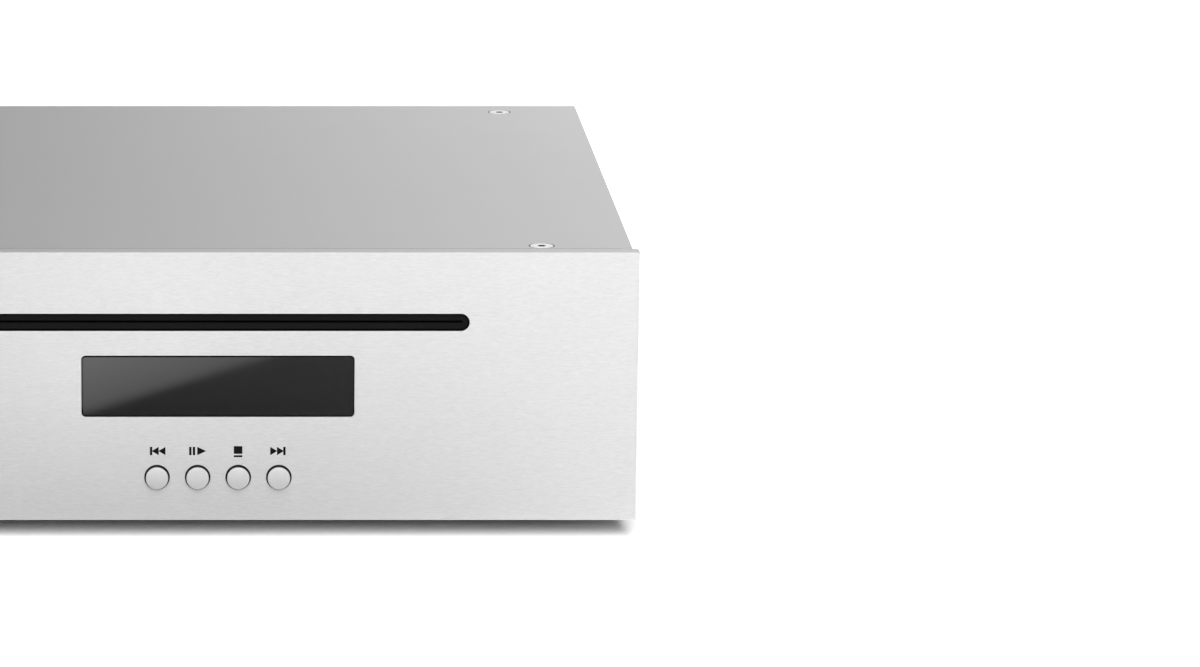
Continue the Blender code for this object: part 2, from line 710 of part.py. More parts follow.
def slot_felt():
    """The felt strip in the slot, with the slit that the disc goes through."""
    front = FACE_Y + FELT_RECESS
    back = front + FELT_THICK
    outline = stadium(SLOT_WIDTH / 2 - FIT_GAP, SLOT_Z, SLOT_HEIGHT / 2 - FIT_GAP, SLOT_END_STEPS)
    strip = prism("Y", outline, front, back)
    slit = box(
        (-FELT_SLIT_WIDTH / 2, FELT_SLIT_WIDTH / 2),
        (front - CUT_OVERRUN, back + CUT_OVERRUN),
        (SLOT_Z - FELT_SLIT_HEIGHT / 2, SLOT_Z + FELT_SLIT_HEIGHT / 2),
    )
    carve(strip, slit)
    return node("slot_felt", strip, "black_felt", (0, front, SLOT_Z))


def board_bosses():
    """The places of the bosses that hold the front board, as (x, z)."""
    xs = (FRONT_BOARD_LEFT + BOSS_INSET, FRONT_BOARD_RIGHT - BOSS_INSET)
    zs = (FRONT_BOARD_BOTTOM + BOSS_INSET, FRONT_BOARD_TOP - BOSS_INSET)
    return [(x, z) for x in xs for z in zs]


def board_pillars():
    """The places of the pillars that hold the main board, as (x, y)."""
    x = MAIN_BOARD_HALF_WIDTH - PILLAR_INSET
    ys = (MAIN_BOARD_FRONT_Y + PILLAR_INSET, MAIN_BOARD_BACK_Y - JACK_HOUSING_DEPTH - PILLAR_INSET)
    return [(side * x, y) for side in SIDES.values() for y in ys]


def bottom_chassis():
    """Floor, front wall, side lips, screw tabs, board bosses and pillars in one pressing."""
    floor_back_y = REAR_PANEL_FRONT_Y + CASE_SHEET
    floor = box((-CHASSIS_HALF, CHASSIS_HALF), (CASE_FRONT_Y, floor_back_y), (FLOOR_BOTTOM_Z, FLOOR_Z))
    wall = box(
        (-CHASSIS_HALF, CHASSIS_HALF),
        (CASE_FRONT_Y, WALL_BACK_Y),
        (FLOOR_BOTTOM_Z, CHASSIS_TOP_Z),
    )
    added = [wall]
    for side in SIDES.values():
        lip_x = sorted((side * CHASSIS_HALF, side * (CHASSIS_HALF - CASE_SHEET)))
        added.append(
            box(
                lip_x,
                (CASE_FRONT_Y, REAR_PANEL_FRONT_Y - FIT_GAP),
                (FLOOR_BOTTOM_Z, FLOOR_Z + SIDE_LIP_HEIGHT),
            )
        )
        tab_x = (side * SCREW_X - TAB_WIDTH / 2, side * SCREW_X + TAB_WIDTH / 2)
        tab_y = (CASE_FRONT_Y, FRONT_SCREW_Y + TAB_MARGIN)
        added.append(box(tab_x, tab_y, (CHASSIS_TOP_Z - CASE_SHEET, CHASSIS_TOP_Z)))
    for x, z in board_bosses():
        added.append(
            cylinder("Y", (x, z), BOSS_RADIUS, CASE_FRONT_Y, FRONT_BOARD_Y - FIT_GAP, SMALL_SIDES)
        )
    for x, y in board_pillars():
        added.append(
            cylinder("Z", (x, y), PILLAR_RADIUS, FLOOR_BOTTOM_Z, MAIN_BOARD_Z - FIT_GAP, SMALL_SIDES)
        )
    unite(floor, *added)

    wall_cut = (CASE_FRONT_Y - CUT_OVERRUN, WALL_BACK_Y + CUT_OVERRUN)
    slot_half = SLOT_HEIGHT / 2 + WALL_SLOT_MARGIN
    slot_x = SLOT_WIDTH / 2 + WALL_SLOT_MARGIN
    window_half = WINDOW_HEIGHT / 2 + WINDOW_LIP
    window_x = WINDOW_WIDTH / 2 + WINDOW_LIP
    cuts = [
        box((-slot_x, slot_x), wall_cut, (SLOT_Z - slot_half, SLOT_Z + slot_half)),
        box((-window_x, window_x), wall_cut, (WINDOW_Z - window_half, WINDOW_Z + window_half)),
        box(
            (BUTTON_XS[0] - WALL_HOLE_RADIUS, BUTTON_XS[-1] + WALL_HOLE_RADIUS),
            wall_cut,
            (BUTTON_Z - WALL_HOLE_RADIUS, BUTTON_Z + WALL_HOLE_RADIUS),
        ),
        cylinder("Y", (STANDBY_X, BUTTON_Z), WALL_HOLE_RADIUS, *wall_cut),
        cylinder("Y", (STANDBY_X, LIGHT_Z), LIGHT_RADIUS + FIT_GAP, *wall_cut, SMALL_SIDES),
    ]
    tab_cut = (CHASSIS_TOP_Z - CASE_SHEET - CUT_OVERRUN, CHASSIS_TOP_Z + CUT_OVERRUN)
    floor_cut = (FLOOR_BOTTOM_Z - CUT_OVERRUN, FLOOR_Z + CUT_OVERRUN)
    for side in SIDES.values():
        cuts.append(
            cylinder("Z", (side * SCREW_X, FRONT_SCREW_Y), TAB_HOLE_RADIUS, *tab_cut, SMALL_SIDES)
        )
        for y in FOOT_ROWS.values():
            cuts.append(
                cylinder("Z", (side * FOOT_X, y), FOOT_STEM_RADIUS + FIT_GAP, *floor_cut, SMALL_SIDES)
            )
    carve(floor, *cuts)
    return node("bottom_chassis", floor, "zinc_sheet", (0, CASE_FRONT_Y, FLOOR_BOTTOM_Z))


def top_cover():
    """The cover bent from one sheet: its top and two sides, with four countersunk holes."""
    outside = []
    inside = []
    for side in (1, -1):
        steps = range(BEND_STEPS + 1) if side > 0 else range(BEND_STEPS, -1, -1)
        for step in steps:
            angle = math.pi / 2 * step / BEND_STEPS
            for points, half, top, bend in (
                (outside, COVER_HALF, PLAYER_HEIGHT, COVER_BEND),
                (inside, COVER_INNER_HALF, COVER_INNER_Z, COVER_INNER_BEND),
            ):
                x = half - bend + bend * math.cos(angle)
                points.append((side * x, top - bend + bend * math.sin(angle)))
    outline = [(COVER_HALF, FLOOR_BOTTOM_Z), *outside, (-COVER_HALF, FLOOR_BOTTOM_Z)]
    outline += [(-COVER_INNER_HALF, FLOOR_BOTTOM_Z), *reversed(inside), (COVER_INNER_HALF, FLOOR_BOTTOM_Z)]
    cover = prism("Y", outline, CASE_FRONT_Y, REAR_Y)
    sink_radius = SCREW_HEAD_RADIUS + FIT_GAP
    sink_depth = sink_radius - TAB_HOLE_RADIUS
    cuts = []
    for side in SIDES.values():
        for y in (FRONT_SCREW_Y, REAR_SCREW_Y):
            profile = [
                (TAB_HOLE_RADIUS, COVER_INNER_Z - CUT_OVERRUN),
                (TAB_HOLE_RADIUS, PLAYER_HEIGHT - sink_depth),
                (sink_radius, PLAYER_HEIGHT),
                (sink_radius, PLAYER_HEIGHT + CUT_OVERRUN),
            ]
            cuts.append(turned("Z", (side * SCREW_X, y), profile))
    carve(cover, *cuts)
    return node("top_cover", cover, "cover_grey", (0, CASE_FRONT_Y, PLAYER_HEIGHT))


def cover_screws():
    """Four countersunk screws with a socket in the head."""
    sink_depth = SCREW_HEAD_RADIUS - SCREW_SHANK_RADIUS
    for row, y in (("front", FRONT_SCREW_Y), ("rear", REAR_SCREW_Y)):
        for side_name, side in SIDES.items():
            centre = (side * SCREW_X, y)
            profile = [
                (SCREW_SHANK_RADIUS, PLAYER_HEIGHT - SCREW_LENGTH),
                (SCREW_SHANK_RADIUS, PLAYER_HEIGHT - sink_depth),
                (SCREW_HEAD_RADIUS, PLAYER_HEIGHT),
            ]
            screw = turned("Z", centre, profile)
            socket = cylinder(
                "Z",
                centre,
                SCREW_SOCKET_RADIUS,
                PLAYER_HEIGHT - SCREW_SOCKET_DEPTH,
                PLAYER_HEIGHT + CUT_OVERRUN,
                SOCKET_SIDES,
            )
            carve(screw, socket)
            node(f"cover_screw_{row}_{side_name}", screw, "screw_steel", (*centre, PLAYER_HEIGHT))


def rear_panel():
    """The plate at the back with its socket openings, screw tabs and floor flange."""
    bottom = FLOOR_Z + FIT_GAP
    plate = box(
        (-CHASSIS_HALF, CHASSIS_HALF), (REAR_PANEL_FRONT_Y, REAR_PANEL_BACK_Y), (bottom, CHASSIS_TOP_Z)
    )
    flange_y = (REAR_PANEL_FRONT_Y - REAR_FLANGE, REAR_PANEL_BACK_Y)
    flange_half = FOOT_X - FOOT_RADIUS
    added = []
    for side in SIDES.values():
        tab_x = (side * SCREW_X - TAB_WIDTH / 2, side * SCREW_X + TAB_WIDTH / 2)
        tab_y = (REAR_SCREW_Y - TAB_MARGIN, REAR_PANEL_BACK_Y)
        added.append(box(tab_x, tab_y, (CHASSIS_TOP_Z - CASE_SHEET, CHASSIS_TOP_Z)))
    added.append(box((-flange_half, flange_half), flange_y, (bottom, bottom + CASE_SHEET)))
    unite(plate, *added)

    through = (REAR_PANEL_FRONT_Y - CUT_OVERRUN, REAR_PANEL_BACK_Y + CUT_OVERRUN)
    tab_cut = (CHASSIS_TOP_Z - CASE_SHEET - CUT_OVERRUN, CHASSIS_TOP_Z + CUT_OVERRUN)
    cuts = []
    for side in SIDES.values():
        cuts.append(
            cylinder("Z", (side * SCREW_X, REAR_SCREW_Y), TAB_HOLE_RADIUS, *tab_cut, SMALL_SIDES)
        )
        jack_x = JACK_PAIR_X + side * JACK_SPACING / 2
        cuts.append(cylinder("Y", (jack_x, SOCKET_Z + JACK_RISE), JACK_RADIUS + FIT_GAP, *through))
    for x, width, height in (
        (OPTICAL_X, OPTICAL_WIDTH, OPTICAL_HEIGHT),
        (INLET_X, INLET_WIDTH, INLET_HEIGHT),
    ):
        half = width / 2 + FIT_GAP
        cuts.append(box((x - half, x + half), through, (SOCKET_Z - FIT_GAP, SOCKET_Z + height + FIT_GAP)))
    carve(plate, *cuts)
    return node("rear_panel", plate, "cover_grey", (0, REAR_PANEL_FRONT_Y, bottom))


def feet():
    """Four rubber feet, pushed through holes in the floor."""
    top = FLOOR_BOTTOM_Z - FIT_GAP
    for row, y in FOOT_ROWS.items():
        for side_name, side in SIDES.items():
            profile = [
                (FOOT_RADIUS - FOOT_TAPER, 0),
                (FOOT_RADIUS, FOOT_TAPER),
                (FOOT_RADIUS, top),
                (FOOT_STEM_RADIUS, top),
                (FOOT_STEM_RADIUS, FLOOR_Z + FOOT_STEM_RISE),
            ]
            foot = turned("Z", (side * FOOT_X, y), profile)
            node(f"foot_{row}_{side_name}", foot, "black_rubber", (side * FOOT_X, y, 0))


# Front controls


BUTTON_XS = [BUTTON_PITCH * (index - (len(BUTTON_NAMES) - 1) / 2) for index in range(len(BUTTON_NAMES))]


def push_button(name, x):
    """A round cap with a flange behind the panel and a stem into its switch."""
    front = FACE_Y - BUTTON_PROUD
    cap_radius = BUTTON_HOLE_RADIUS - BUTTON_GAP
    flange_back = CASE_FRONT_Y + BUTTON_FLANGE_THICK
    profile = [
        (cap_radius - BUTTON_EDGE, front),
        (cap_radius, front + BUTTON_EDGE),
        (cap_radius, CASE_FRONT_Y),
        (BUTTON_FLANGE_RADIUS, CASE_FRONT_Y),
        (BUTTON_FLANGE_RADIUS, flange_back),
        (BUTTON_STEM_RADIUS, flange_back),
        (BUTTON_STEM_RADIUS, SWITCH_FRONT_Y + BUTTON_STEM_ENTRY),
    ]
    button = turned("Y", (x, BUTTON_Z), profile)
    return node(name, button, "button_aluminium", (x, front, BUTTON_Z))


def tact_switch(name, x):
    """A tact switch with the well that its button's stem presses into."""
    half = SWITCH_SIDE / 2
    body = box(
        (x - half, x + half),
        (SWITCH_FRONT_Y, SWITCH_FRONT_Y + SWITCH_DEPTH),
        (BUTTON_Z - half, BUTTON_Z + half),
    )
    well = cylinder(
        "Y",
        (x, BUTTON_Z),
        BUTTON_STEM_RADIUS + SWITCH_WELL_CLEARANCE,
        SWITCH_FRONT_Y - CUT_OVERRUN,
        SWITCH_FRONT_Y + SWITCH_WELL_DEPTH,
        SMALL_SIDES,
    )
    carve(body, well)
    return node(name, body, "black_plastic", (x, SWITCH_FRONT_Y, BUTTON_Z))


def controls():
    """Every button with its switch, and the light pipe over the standby button."""
    for label, x in zip((*BUTTON_NAMES, "standby"), (*BUTTON_XS, STANDBY_X)):
        push_button(f"button_{label}", x)
        tact_switch(f"switch_{label}", x)
    pipe = cylinder(
        "Y", (STANDBY_X, LIGHT_Z), LIGHT_RADIUS, FACE_Y, FRONT_BOARD_Y - FIT_GAP, SMALL_SIDES
    )
    node("standby_light_pipe", pipe, "clear_acrylic", (STANDBY_X, FACE_Y, LIGHT_Z))


def display_module():
    """The display behind the window, on the front board."""
    half = DISPLAY_WIDTH / 2
    z = (WINDOW_Z - DISPLAY_HEIGHT / 2, WINDOW_Z + DISPLAY_HEIGHT / 2)
    module = box((-half, half), (WALL_BACK_Y + FIT_GAP, FRONT_BOARD_Y - FIT_GAP), z)
    return node("display_module", module, "display_glass", (0, WALL_BACK_Y + FIT_GAP, WINDOW_Z))


CABLE_X = DISPLAY_WIDTH / 4
CABLE_Z = MAIN_BOARD_TOP_Z + CONNECTOR_HEIGHT / 2


def front_board():
    """The upright board behind the face, with the flat cable's connector on its back."""
    board = box(
        (FRONT_BOARD_LEFT, FRONT_BOARD_RIGHT),
        (FRONT_BOARD_Y, FRONT_BOARD_BACK_Y),
        (FRONT_BOARD_BOTTOM, FRONT_BOARD_TOP),
    )
    connector = box(
        (CABLE_X - CONNECTOR_WIDTH / 2, CABLE_X + CONNECTOR_WIDTH / 2),
        (FRONT_BOARD_Y, FRONT_BOARD_BACK_Y + CONNECTOR_DEPTH),
        (CABLE_Z - CONNECTOR_HEIGHT / 2, CABLE_Z + CONNECTOR_HEIGHT / 2),
    )
    unite(board, connector)
    return node("front_board", board, "circuit_board", (0, FRONT_BOARD_Y, WINDOW_Z))


# Loader


def loader_base():
    """Two side walls on legs with a base plate between them, and the pegs and axle they carry."""
    foot_z = FLOOR_Z + FIT_GAP
    plate = box(
        (-LOADER_OUTER_HALF, LOADER_OUTER_HALF),
        (LOADER_Y, LOADER_BACK_Y),
        (LOADER_BASE_BOTTOM_Z, LOADER_BASE_Z),
    )
    leg_front = (LOADER_Y + LEG_SETBACK, LOADER_Y + LEG_SETBACK + LEG_LENGTH)
    leg_back = (LOADER_BACK_Y - LEG_SETBACK - LEG_LENGTH, LOADER_BACK_Y - LEG_SETBACK)
    skirt_z = LOADER_BASE_BOTTOM_Z - LEG_ARCH
    wall_outline = [
        (LOADER_Y, WALL_TOP_Z),
        (LOADER_Y, skirt_z),
        (leg_front[0], skirt_z),
        (leg_front[0], foot_z),
        (leg_front[1], foot_z),
        (leg_front[1], skirt_z),
        (leg_back[0], skirt_z),
        (leg_back[0], foot_z),
        (leg_back[1], foot_z),
        (leg_back[1], skirt_z),
        (LOADER_BACK_Y, skirt_z),
        (LOADER_BACK_Y, WALL_TOP_Z),
    ]
    added = []
    for side in SIDES.values():
        wall_x = sorted((side * LOADER_HALF_WIDTH, side * LOADER_OUTER_HALF))
        added.append(prism("X", wall_outline, *wall_x))
        foot_x = sorted((side * LOADER_HALF_WIDTH, side * (LOADER_OUTER_HALF + LEG_FOOT)))
        for leg in (leg_front, leg_back):
            added.append(box(foot_x, leg, (foot_z, foot_z + LOADER_SHEET)))
    lug_y = (
        IDLER_CENTRE[0] - pitch_radius(IDLER_TEETH) - MOTOR_LUG_MARGIN,
        PINION_CENTRE[0] + MOTOR_RADIUS + MOTOR_LUG_MARGIN,
    )
    lug_top = PINION_CENTRE[1] + MOTOR_RADIUS
    added.append(box((LOADER_HALF_WIDTH, LOADER_OUTER_HALF), lug_y, (LOADER_BASE_Z, lug_top)))
    added.append(
        cylinder("X", IDLER_CENTRE, IDLER_AXLE_RADIUS, GEAR_INNER_X, LOADER_OUTER_HALF, SMALL_SIDES)
    )
    for peg_y in CAM_PEG_YS:
        added.append(
            cylinder("X", (peg_y, CAM_PEG_Z), CAM_PEG_RADIUS, -LOADER_OUTER_HALF, -CAM_INNER_X, SMALL_SIDES)
        )
    unite(plate, *added)

    well = box(
        (-WELL_LEFT, WELL_RIGHT),
        (SPINDLE_Y - WELL_FRONT, SPINDLE_Y + WELL_BACK),
        (LOADER_BASE_BOTTOM_Z - CUT_OVERRUN, LOADER_BASE_Z + CUT_OVERRUN),
    )
    cuts = [well]
    for side in SIDES.values():
        wall_ends = (LOADER_HALF_WIDTH - CUT_OVERRUN, LOADER_OUTER_HALF + CUT_OVERRUN)
        wall_cut = sorted(side * end for end in wall_ends)
        pivot = (BRACKET_PIVOT_Y, BRACKET_PIVOT_Z)
        cuts.append(cylinder("X", pivot, BRACKET_PIVOT_RADIUS + FIT_GAP, *wall_cut, SMALL_SIDES))
    motor_cut = (LOADER_HALF_WIDTH - CUT_OVERRUN, LOADER_OUTER_HALF + CUT_OVERRUN)
    cuts.append(cylinder("X", PINION_CENTRE, MOTOR_SHAFT_RADIUS + FIT_GAP, *motor_cut, SMALL_SIDES))
    carve(plate, *cuts)
    return node("loader_base", plate, "zinc_sheet", (0, SPINDLE_Y, LOADER_BASE_Z))


def loader_top_plate():
    """The plate over the disc, with the puck's opening, the ears of the clamp arm and two notches."""
    plate = box(
        (-LOADER_OUTER_HALF, LOADER_OUTER_HALF), (LOADER_Y, LOADER_BACK_Y), (TOP_PLATE_Z, TOP_PLATE_TOP_Z)
    )
    ears = []
    ear_half = CLAMP_PIN_RADIUS + FIT_GAP + TOP_PLATE_SHEET
    for side in SIDES.values():
        inner = CLAMP_HALF_WIDTH + CLAMP_EAR_GAP
        ear_x = sorted((side * inner, side * (inner + TOP_PLATE_SHEET)))
        ears.append(
            box(
                ear_x,
                (CLAMP_PIVOT_Y - ear_half, CLAMP_PIVOT_Y + ear_half),
                (TOP_PLATE_Z, CLAMP_PIVOT_Z + ear_half),
            )
        )
    unite(plate, *ears)
    thickness_cut = (TOP_PLATE_Z - CUT_OVERRUN, TOP_PLATE_TOP_Z + CUT_OVERRUN)
    edge_x = LOADER_HALF_WIDTH - TOP_PLATE_INSET
    gear_front = IDLER_CENTRE[0] - pitch_radius(IDLER_TEETH) - MOTOR_LUG_MARGIN - CUT_OVERRUN
    gear_back = PINION_CENTRE[0] + MOTOR_RADIUS + MOTOR_LUG_MARGIN + CUT_OVERRUN
    cam_front = CAM_TOWER_Y[0] - CAM_TRAVEL - CUT_OVERRUN
    cam_back = CAM_TOWER_Y[1] + CUT_OVERRUN
    far_x = LOADER_OUTER_HALF + CUT_OVERRUN
    pin = cylinder(
        "X",
        (CLAMP_PIVOT_Y, CLAMP_PIVOT_Z),
        CLAMP_PIN_RADIUS + FIT_GAP,
        -LOADER_HALF_WIDTH,
        LOADER_HALF_WIDTH,
        SMALL_SIDES,
    )
    carve(
        plate,
        cylinder("Z", (0, SPINDLE_Y), PUCK_OPENING_RADIUS, *thickness_cut),
        box((edge_x, far_x), (gear_front, gear_back), thickness_cut),
        box((-LOADER_HALF_WIDTH, -edge_x), (cam_front, cam_back), thickness_cut),
        pin,
    )
    return node("loader_top_plate", plate, "zinc_sheet", (0, SPINDLE_Y, TOP_PLATE_Z))


def disc_guide_rail():
    """The smooth rail that the roller presses the disc against."""
    half_depth = GUIDE_RAIL_DEPTH / 2
    rail = box(
        (-GUIDE_RAIL_HALF_WIDTH, GUIDE_RAIL_HALF_WIDTH),
        (ROLLER_Y - half_depth, ROLLER_Y + half_depth),
        (RAIL_Z, RAIL_Z + GUIDE_RAIL_HEIGHT),
    )
    return node("disc_guide_rail", rail, "black_plastic", (0, ROLLER_Y, RAIL_Z))


def roller_bracket():
    """The swinging bracket: two arms, the web between them, pivot pins and the cam finger."""
    pivot = (BRACKET_PIVOT_Y, BRACKET_PIVOT_Z)
    arm_outline = []
    for centre, start in (((ROLLER_Y, ROLLER_Z), 1), (pivot, 3)):
        for step in range(ARM_END_STEPS + 1):
            angle = math.pi / 2 * start + math.pi * step / ARM_END_STEPS
            arm_outline.append(step_from(centre, BRACKET_ARM_RADIUS, angle))
    web_z = BRACKET_PIVOT_Z - BRACKET_WEB_FALL
    web_y = (BRACKET_PIVOT_Y - BRACKET_WEB_LENGTH / 2, BRACKET_PIVOT_Y + BRACKET_WEB_LENGTH / 2)
    body = box((-BRACKET_OUTER_X, BRACKET_OUTER_X), web_y, (web_z, web_z + BRACKET_ARM_THICK))
    finger_y = (BRACKET_PIVOT_Y + BRACKET_TAIL - BRACKET_FINGER_WIDTH, BRACKET_PIVOT_Y + BRACKET_TAIL)
    finger_z = (BRACKET_FINGER_Z, BRACKET_FINGER_Z + BRACKET_FINGER_WIDTH)
    added = []
    for side in SIDES.values():
        arm_x = sorted((side * BRACKET_ARM_X, side * BRACKET_OUTER_X))
        added.append(prism("X", arm_outline, *arm_x))
        pin_x = sorted((side * BRACKET_ARM_X, side * LOADER_OUTER_HALF))
        added.append(cylinder("X", pivot, BRACKET_PIVOT_RADIUS, *pin_x, SMALL_SIDES))
    tail_x = (-BRACKET_OUTER_X, -BRACKET_ARM_X)
    added.append(box(tail_x, (BRACKET_PIVOT_Y, finger_y[1]), finger_z))
    added.append(box((-CAM_OUTER_X + FIT_GAP, -BRACKET_ARM_X), finger_y, finger_z))
    unite(body, *added)
    bearing = cylinder(
        "X",
        (ROLLER_Y, ROLLER_Z),
        ROLLER_SHAFT_RADIUS + FIT_GAP,
        -LOADER_HALF_WIDTH,
        LOADER_HALF_WIDTH,
        SMALL_SIDES,
    )
    carve(body, bearing)
    return node("roller_bracket", body, "zinc_sheet", (0, *pivot))


BRACKET_FINGER_Z = BRACKET_PIVOT_Z - BRACKET_PIVOT_RADIUS + FIT_GAP


def roller(bracket):
    """The rubber roller on its shaft, with the gear that drives it."""
    centre = (ROLLER_Y, ROLLER_Z)
    shaft_end = BRACKET_OUTER_X + ROLLER_SHAFT_RADIUS
    shaft = cylinder("X", centre, ROLLER_SHAFT_RADIUS, -shaft_end, GEAR_OUTER_X, SMALL_SIDES)
    carry(node("roller_shaft", shaft, "polished_rod", (0, *centre)), bracket)

    profile = [
        (ROLLER_RADIUS, -ROLLER_HALF_LENGTH),
        (ROLLER_WAIST_RADIUS, 0),
        (ROLLER_RADIUS, ROLLER_HALF_LENGTH),
    ]
    sleeve = turned("X", centre, profile)
    bore = cylinder(
        "X", centre, ROLLER_SHAFT_RADIUS + FIT_GAP, -LOADER_HALF_WIDTH, LOADER_HALF_WIDTH, SMALL_SIDES
    )
    carve(sleeve, bore)
    carry(node("roller_sleeve", sleeve, "black_rubber", (0, *centre)), bracket)

    gear = prism("X", gear_outline(centre, ROLLER_TEETH, ROLLER_PHASE), GEAR_INNER_X, GEAR_OUTER_X)
    gear_bore = cylinder(
        "X",
        centre,
        ROLLER_SHAFT_RADIUS + FIT_GAP,
        GEAR_INNER_X - CUT_OVERRUN,
        GEAR_OUTER_X + CUT_OVERRUN,
        SMALL_SIDES,
    )
    carve(gear, gear_bore)
    carry(node("roller_gear", gear, "white_plastic", (0, *centre)), bracket)


# The idler stands where the roller comes from as it drops, so the teeth part cleanly.
ROLLER_PHASE = math.pi / 2 - IDLER_LEAN
IDLER_CENTRE = step_from(
    (ROLLER_Y, ROLLER_Z), pitch_radius(ROLLER_TEETH) + pitch_radius(IDLER_TEETH), ROLLER_PHASE
)
PINION_CENTRE = step_from(IDLER_CENTRE, pitch_radius(IDLER_TEETH) + pitch_radius(MOTOR_TEETH), 0)
IDLER_PHASE = mesh_phase(ROLLER_PHASE, ROLLER_TEETH, IDLER_TEETH, ROLLER_PHASE)
PINION_PHASE = mesh_phase(IDLER_PHASE, IDLER_TEETH, MOTOR_TEETH, 0)


def loading_drive():
    """The idler gear, the motor's pinion on its shaft, and the loading motor."""
    idler = prism("X", gear_outline(IDLER_CENTRE, IDLER_TEETH, IDLER_PHASE), GEAR_INNER_X, GEAR_OUTER_X)
    bore = cylinder(
        "X",
        IDLER_CENTRE,
        IDLER_AXLE_RADIUS + FIT_GAP,
        GEAR_INNER_X - CUT_OVERRUN,
        GEAR_OUTER_X + CUT_OVERRUN,
        SMALL_SIDES,
    )
    carve(idler, bore)
    node("idler_gear", idler, "white_plastic", (0, *IDLER_CENTRE))

    motor_x = LOADER_OUTER_HALF + FIT_GAP
    pinion = prism("X", gear_outline(PINION_CENTRE, MOTOR_TEETH, PINION_PHASE), GEAR_INNER_X, GEAR_OUTER_X)
    shaft = cylinder(
        "X", PINION_CENTRE, MOTOR_SHAFT_RADIUS, GEAR_INNER_X, motor_x + MOTOR_SHAFT_REACH, SMALL_SIDES
    )
    unite(pinion, shaft)
    node("motor_pinion", pinion, "white_plastic", (0, *PINION_CENTRE))

    motor = cylinder("X", PINION_CENTRE, MOTOR_RADIUS, motor_x, motor_x + MOTOR_LENGTH)
    shaft_bore = cylinder(
        "X",
        PINION_CENTRE,
        MOTOR_SHAFT_RADIUS + FIT_GAP,
        motor_x - CUT_OVERRUN,
        motor_x + MOTOR_SHAFT_REACH + FIT_GAP,
        SMALL_SIDES,
    )
    carve(motor, shaft_bore)
    node("loading_motor", motor, "motor_steel", (motor_x, *PINION_CENTRE))


CLAMP_FINGER_Y = CLAMP_PIVOT_Y - CLAMP_FINGER_SETBACK
CAM_TOWER_Y = (CLAMP_FINGER_Y - CAM_TOWER_FRONT, CLAMP_FINGER_Y + CAM_TOWER_BACK)
CAM_FOOT_Z = BRACKET_PIVOT_Z - CAM_FOOT_FALL
CAM_BAR_Z = BRACKET_PIVOT_Z - CAM_BAR_FALL
CAM_PEG_Z = CAM_FOOT_Z + CAM_PEG_RISE
CAM_WEDGE_Y = BRACKET_PIVOT_Y + BRACKET_TAIL
CAM_PEG_YS = [CAM_WEDGE_Y + CAM_TRAVEL + step * CAM_PEG_SPACING for step in (0, 1)]


def finger_rise(arm, drop, swing):
    """How far a point goes up when its arm swings: the point lies drop below the pivot."""
    return arm * math.sin(swing) + drop * (1 - math.cos(swing))


def cam_slide():
    """The sliding bar: its wedge lifts the roller bracket's tail, its tower holds the clamp arm up."""
    wedge_low = BRACKET_FINGER_Z - FIT_GAP
    finger_drop = BRACKET_PIVOT_Z - BRACKET_FINGER_Z
    wedge_high = wedge_low + finger_rise(BRACKET_TAIL, finger_drop, BRACKET_SWING)
    finger_depth = CLAMP_PIVOT_Z - CLAMP_PLATE_Z
    finger_reach = CLAMP_FINGER_SETBACK + CLAMP_FINGER_WIDTH / 2
    tower_low = TOP_PLATE_TOP_Z
    tower_front = CLAMP_FINGER_Y - CLAMP_FINGER_WIDTH / 2
    tower_high = tower_low + finger_rise(finger_reach, finger_depth, CLAMP_SWING)
    outline = [
        (CAM_WEDGE_Y - CAM_NOSE, CAM_FOOT_Z),
        (CAM_TOWER_Y[1], CAM_FOOT_Z),
        (CAM_TOWER_Y[1], tower_low),
        (tower_front + CAM_TRAVEL, tower_low),
        (tower_front, tower_high),
        (CAM_TOWER_Y[0], tower_high),
        (CAM_TOWER_Y[0], CAM_BAR_Z),
        (CAM_WEDGE_Y + CAM_TRAVEL + CAM_NOSE, CAM_BAR_Z),
        (CAM_WEDGE_Y + CAM_TRAVEL + CAM_NOSE, wedge_high),
        (CAM_WEDGE_Y + CAM_TRAVEL, wedge_high),
        (CAM_WEDGE_Y, wedge_low),
        (CAM_WEDGE_Y - BRACKET_FINGER_WIDTH, wedge_low),
        (CAM_WEDGE_Y - CAM_NOSE, CAM_BAR_Z),
    ]
    slide = prism("X", outline, -CAM_OUTER_X, -CAM_INNER_X)
    slots = []
    half = CAM_PEG_RADIUS + FIT_GAP
    for peg_y in CAM_PEG_YS:
        slots.append(
            box(
                (-LOADER_HALF_WIDTH - CUT_OVERRUN, -CAM_INNER_X + CUT_OVERRUN),
                (peg_y - half, peg_y + CAM_TRAVEL + half),
                (CAM_PEG_Z - half, CAM_PEG_Z + half),
            )
        )
    carve(slide, *slots)
    return node("cam_slide", slide, "white_plastic", (-CAM_OUTER_X, CAM_WEDGE_Y, CAM_FOOT_Z))


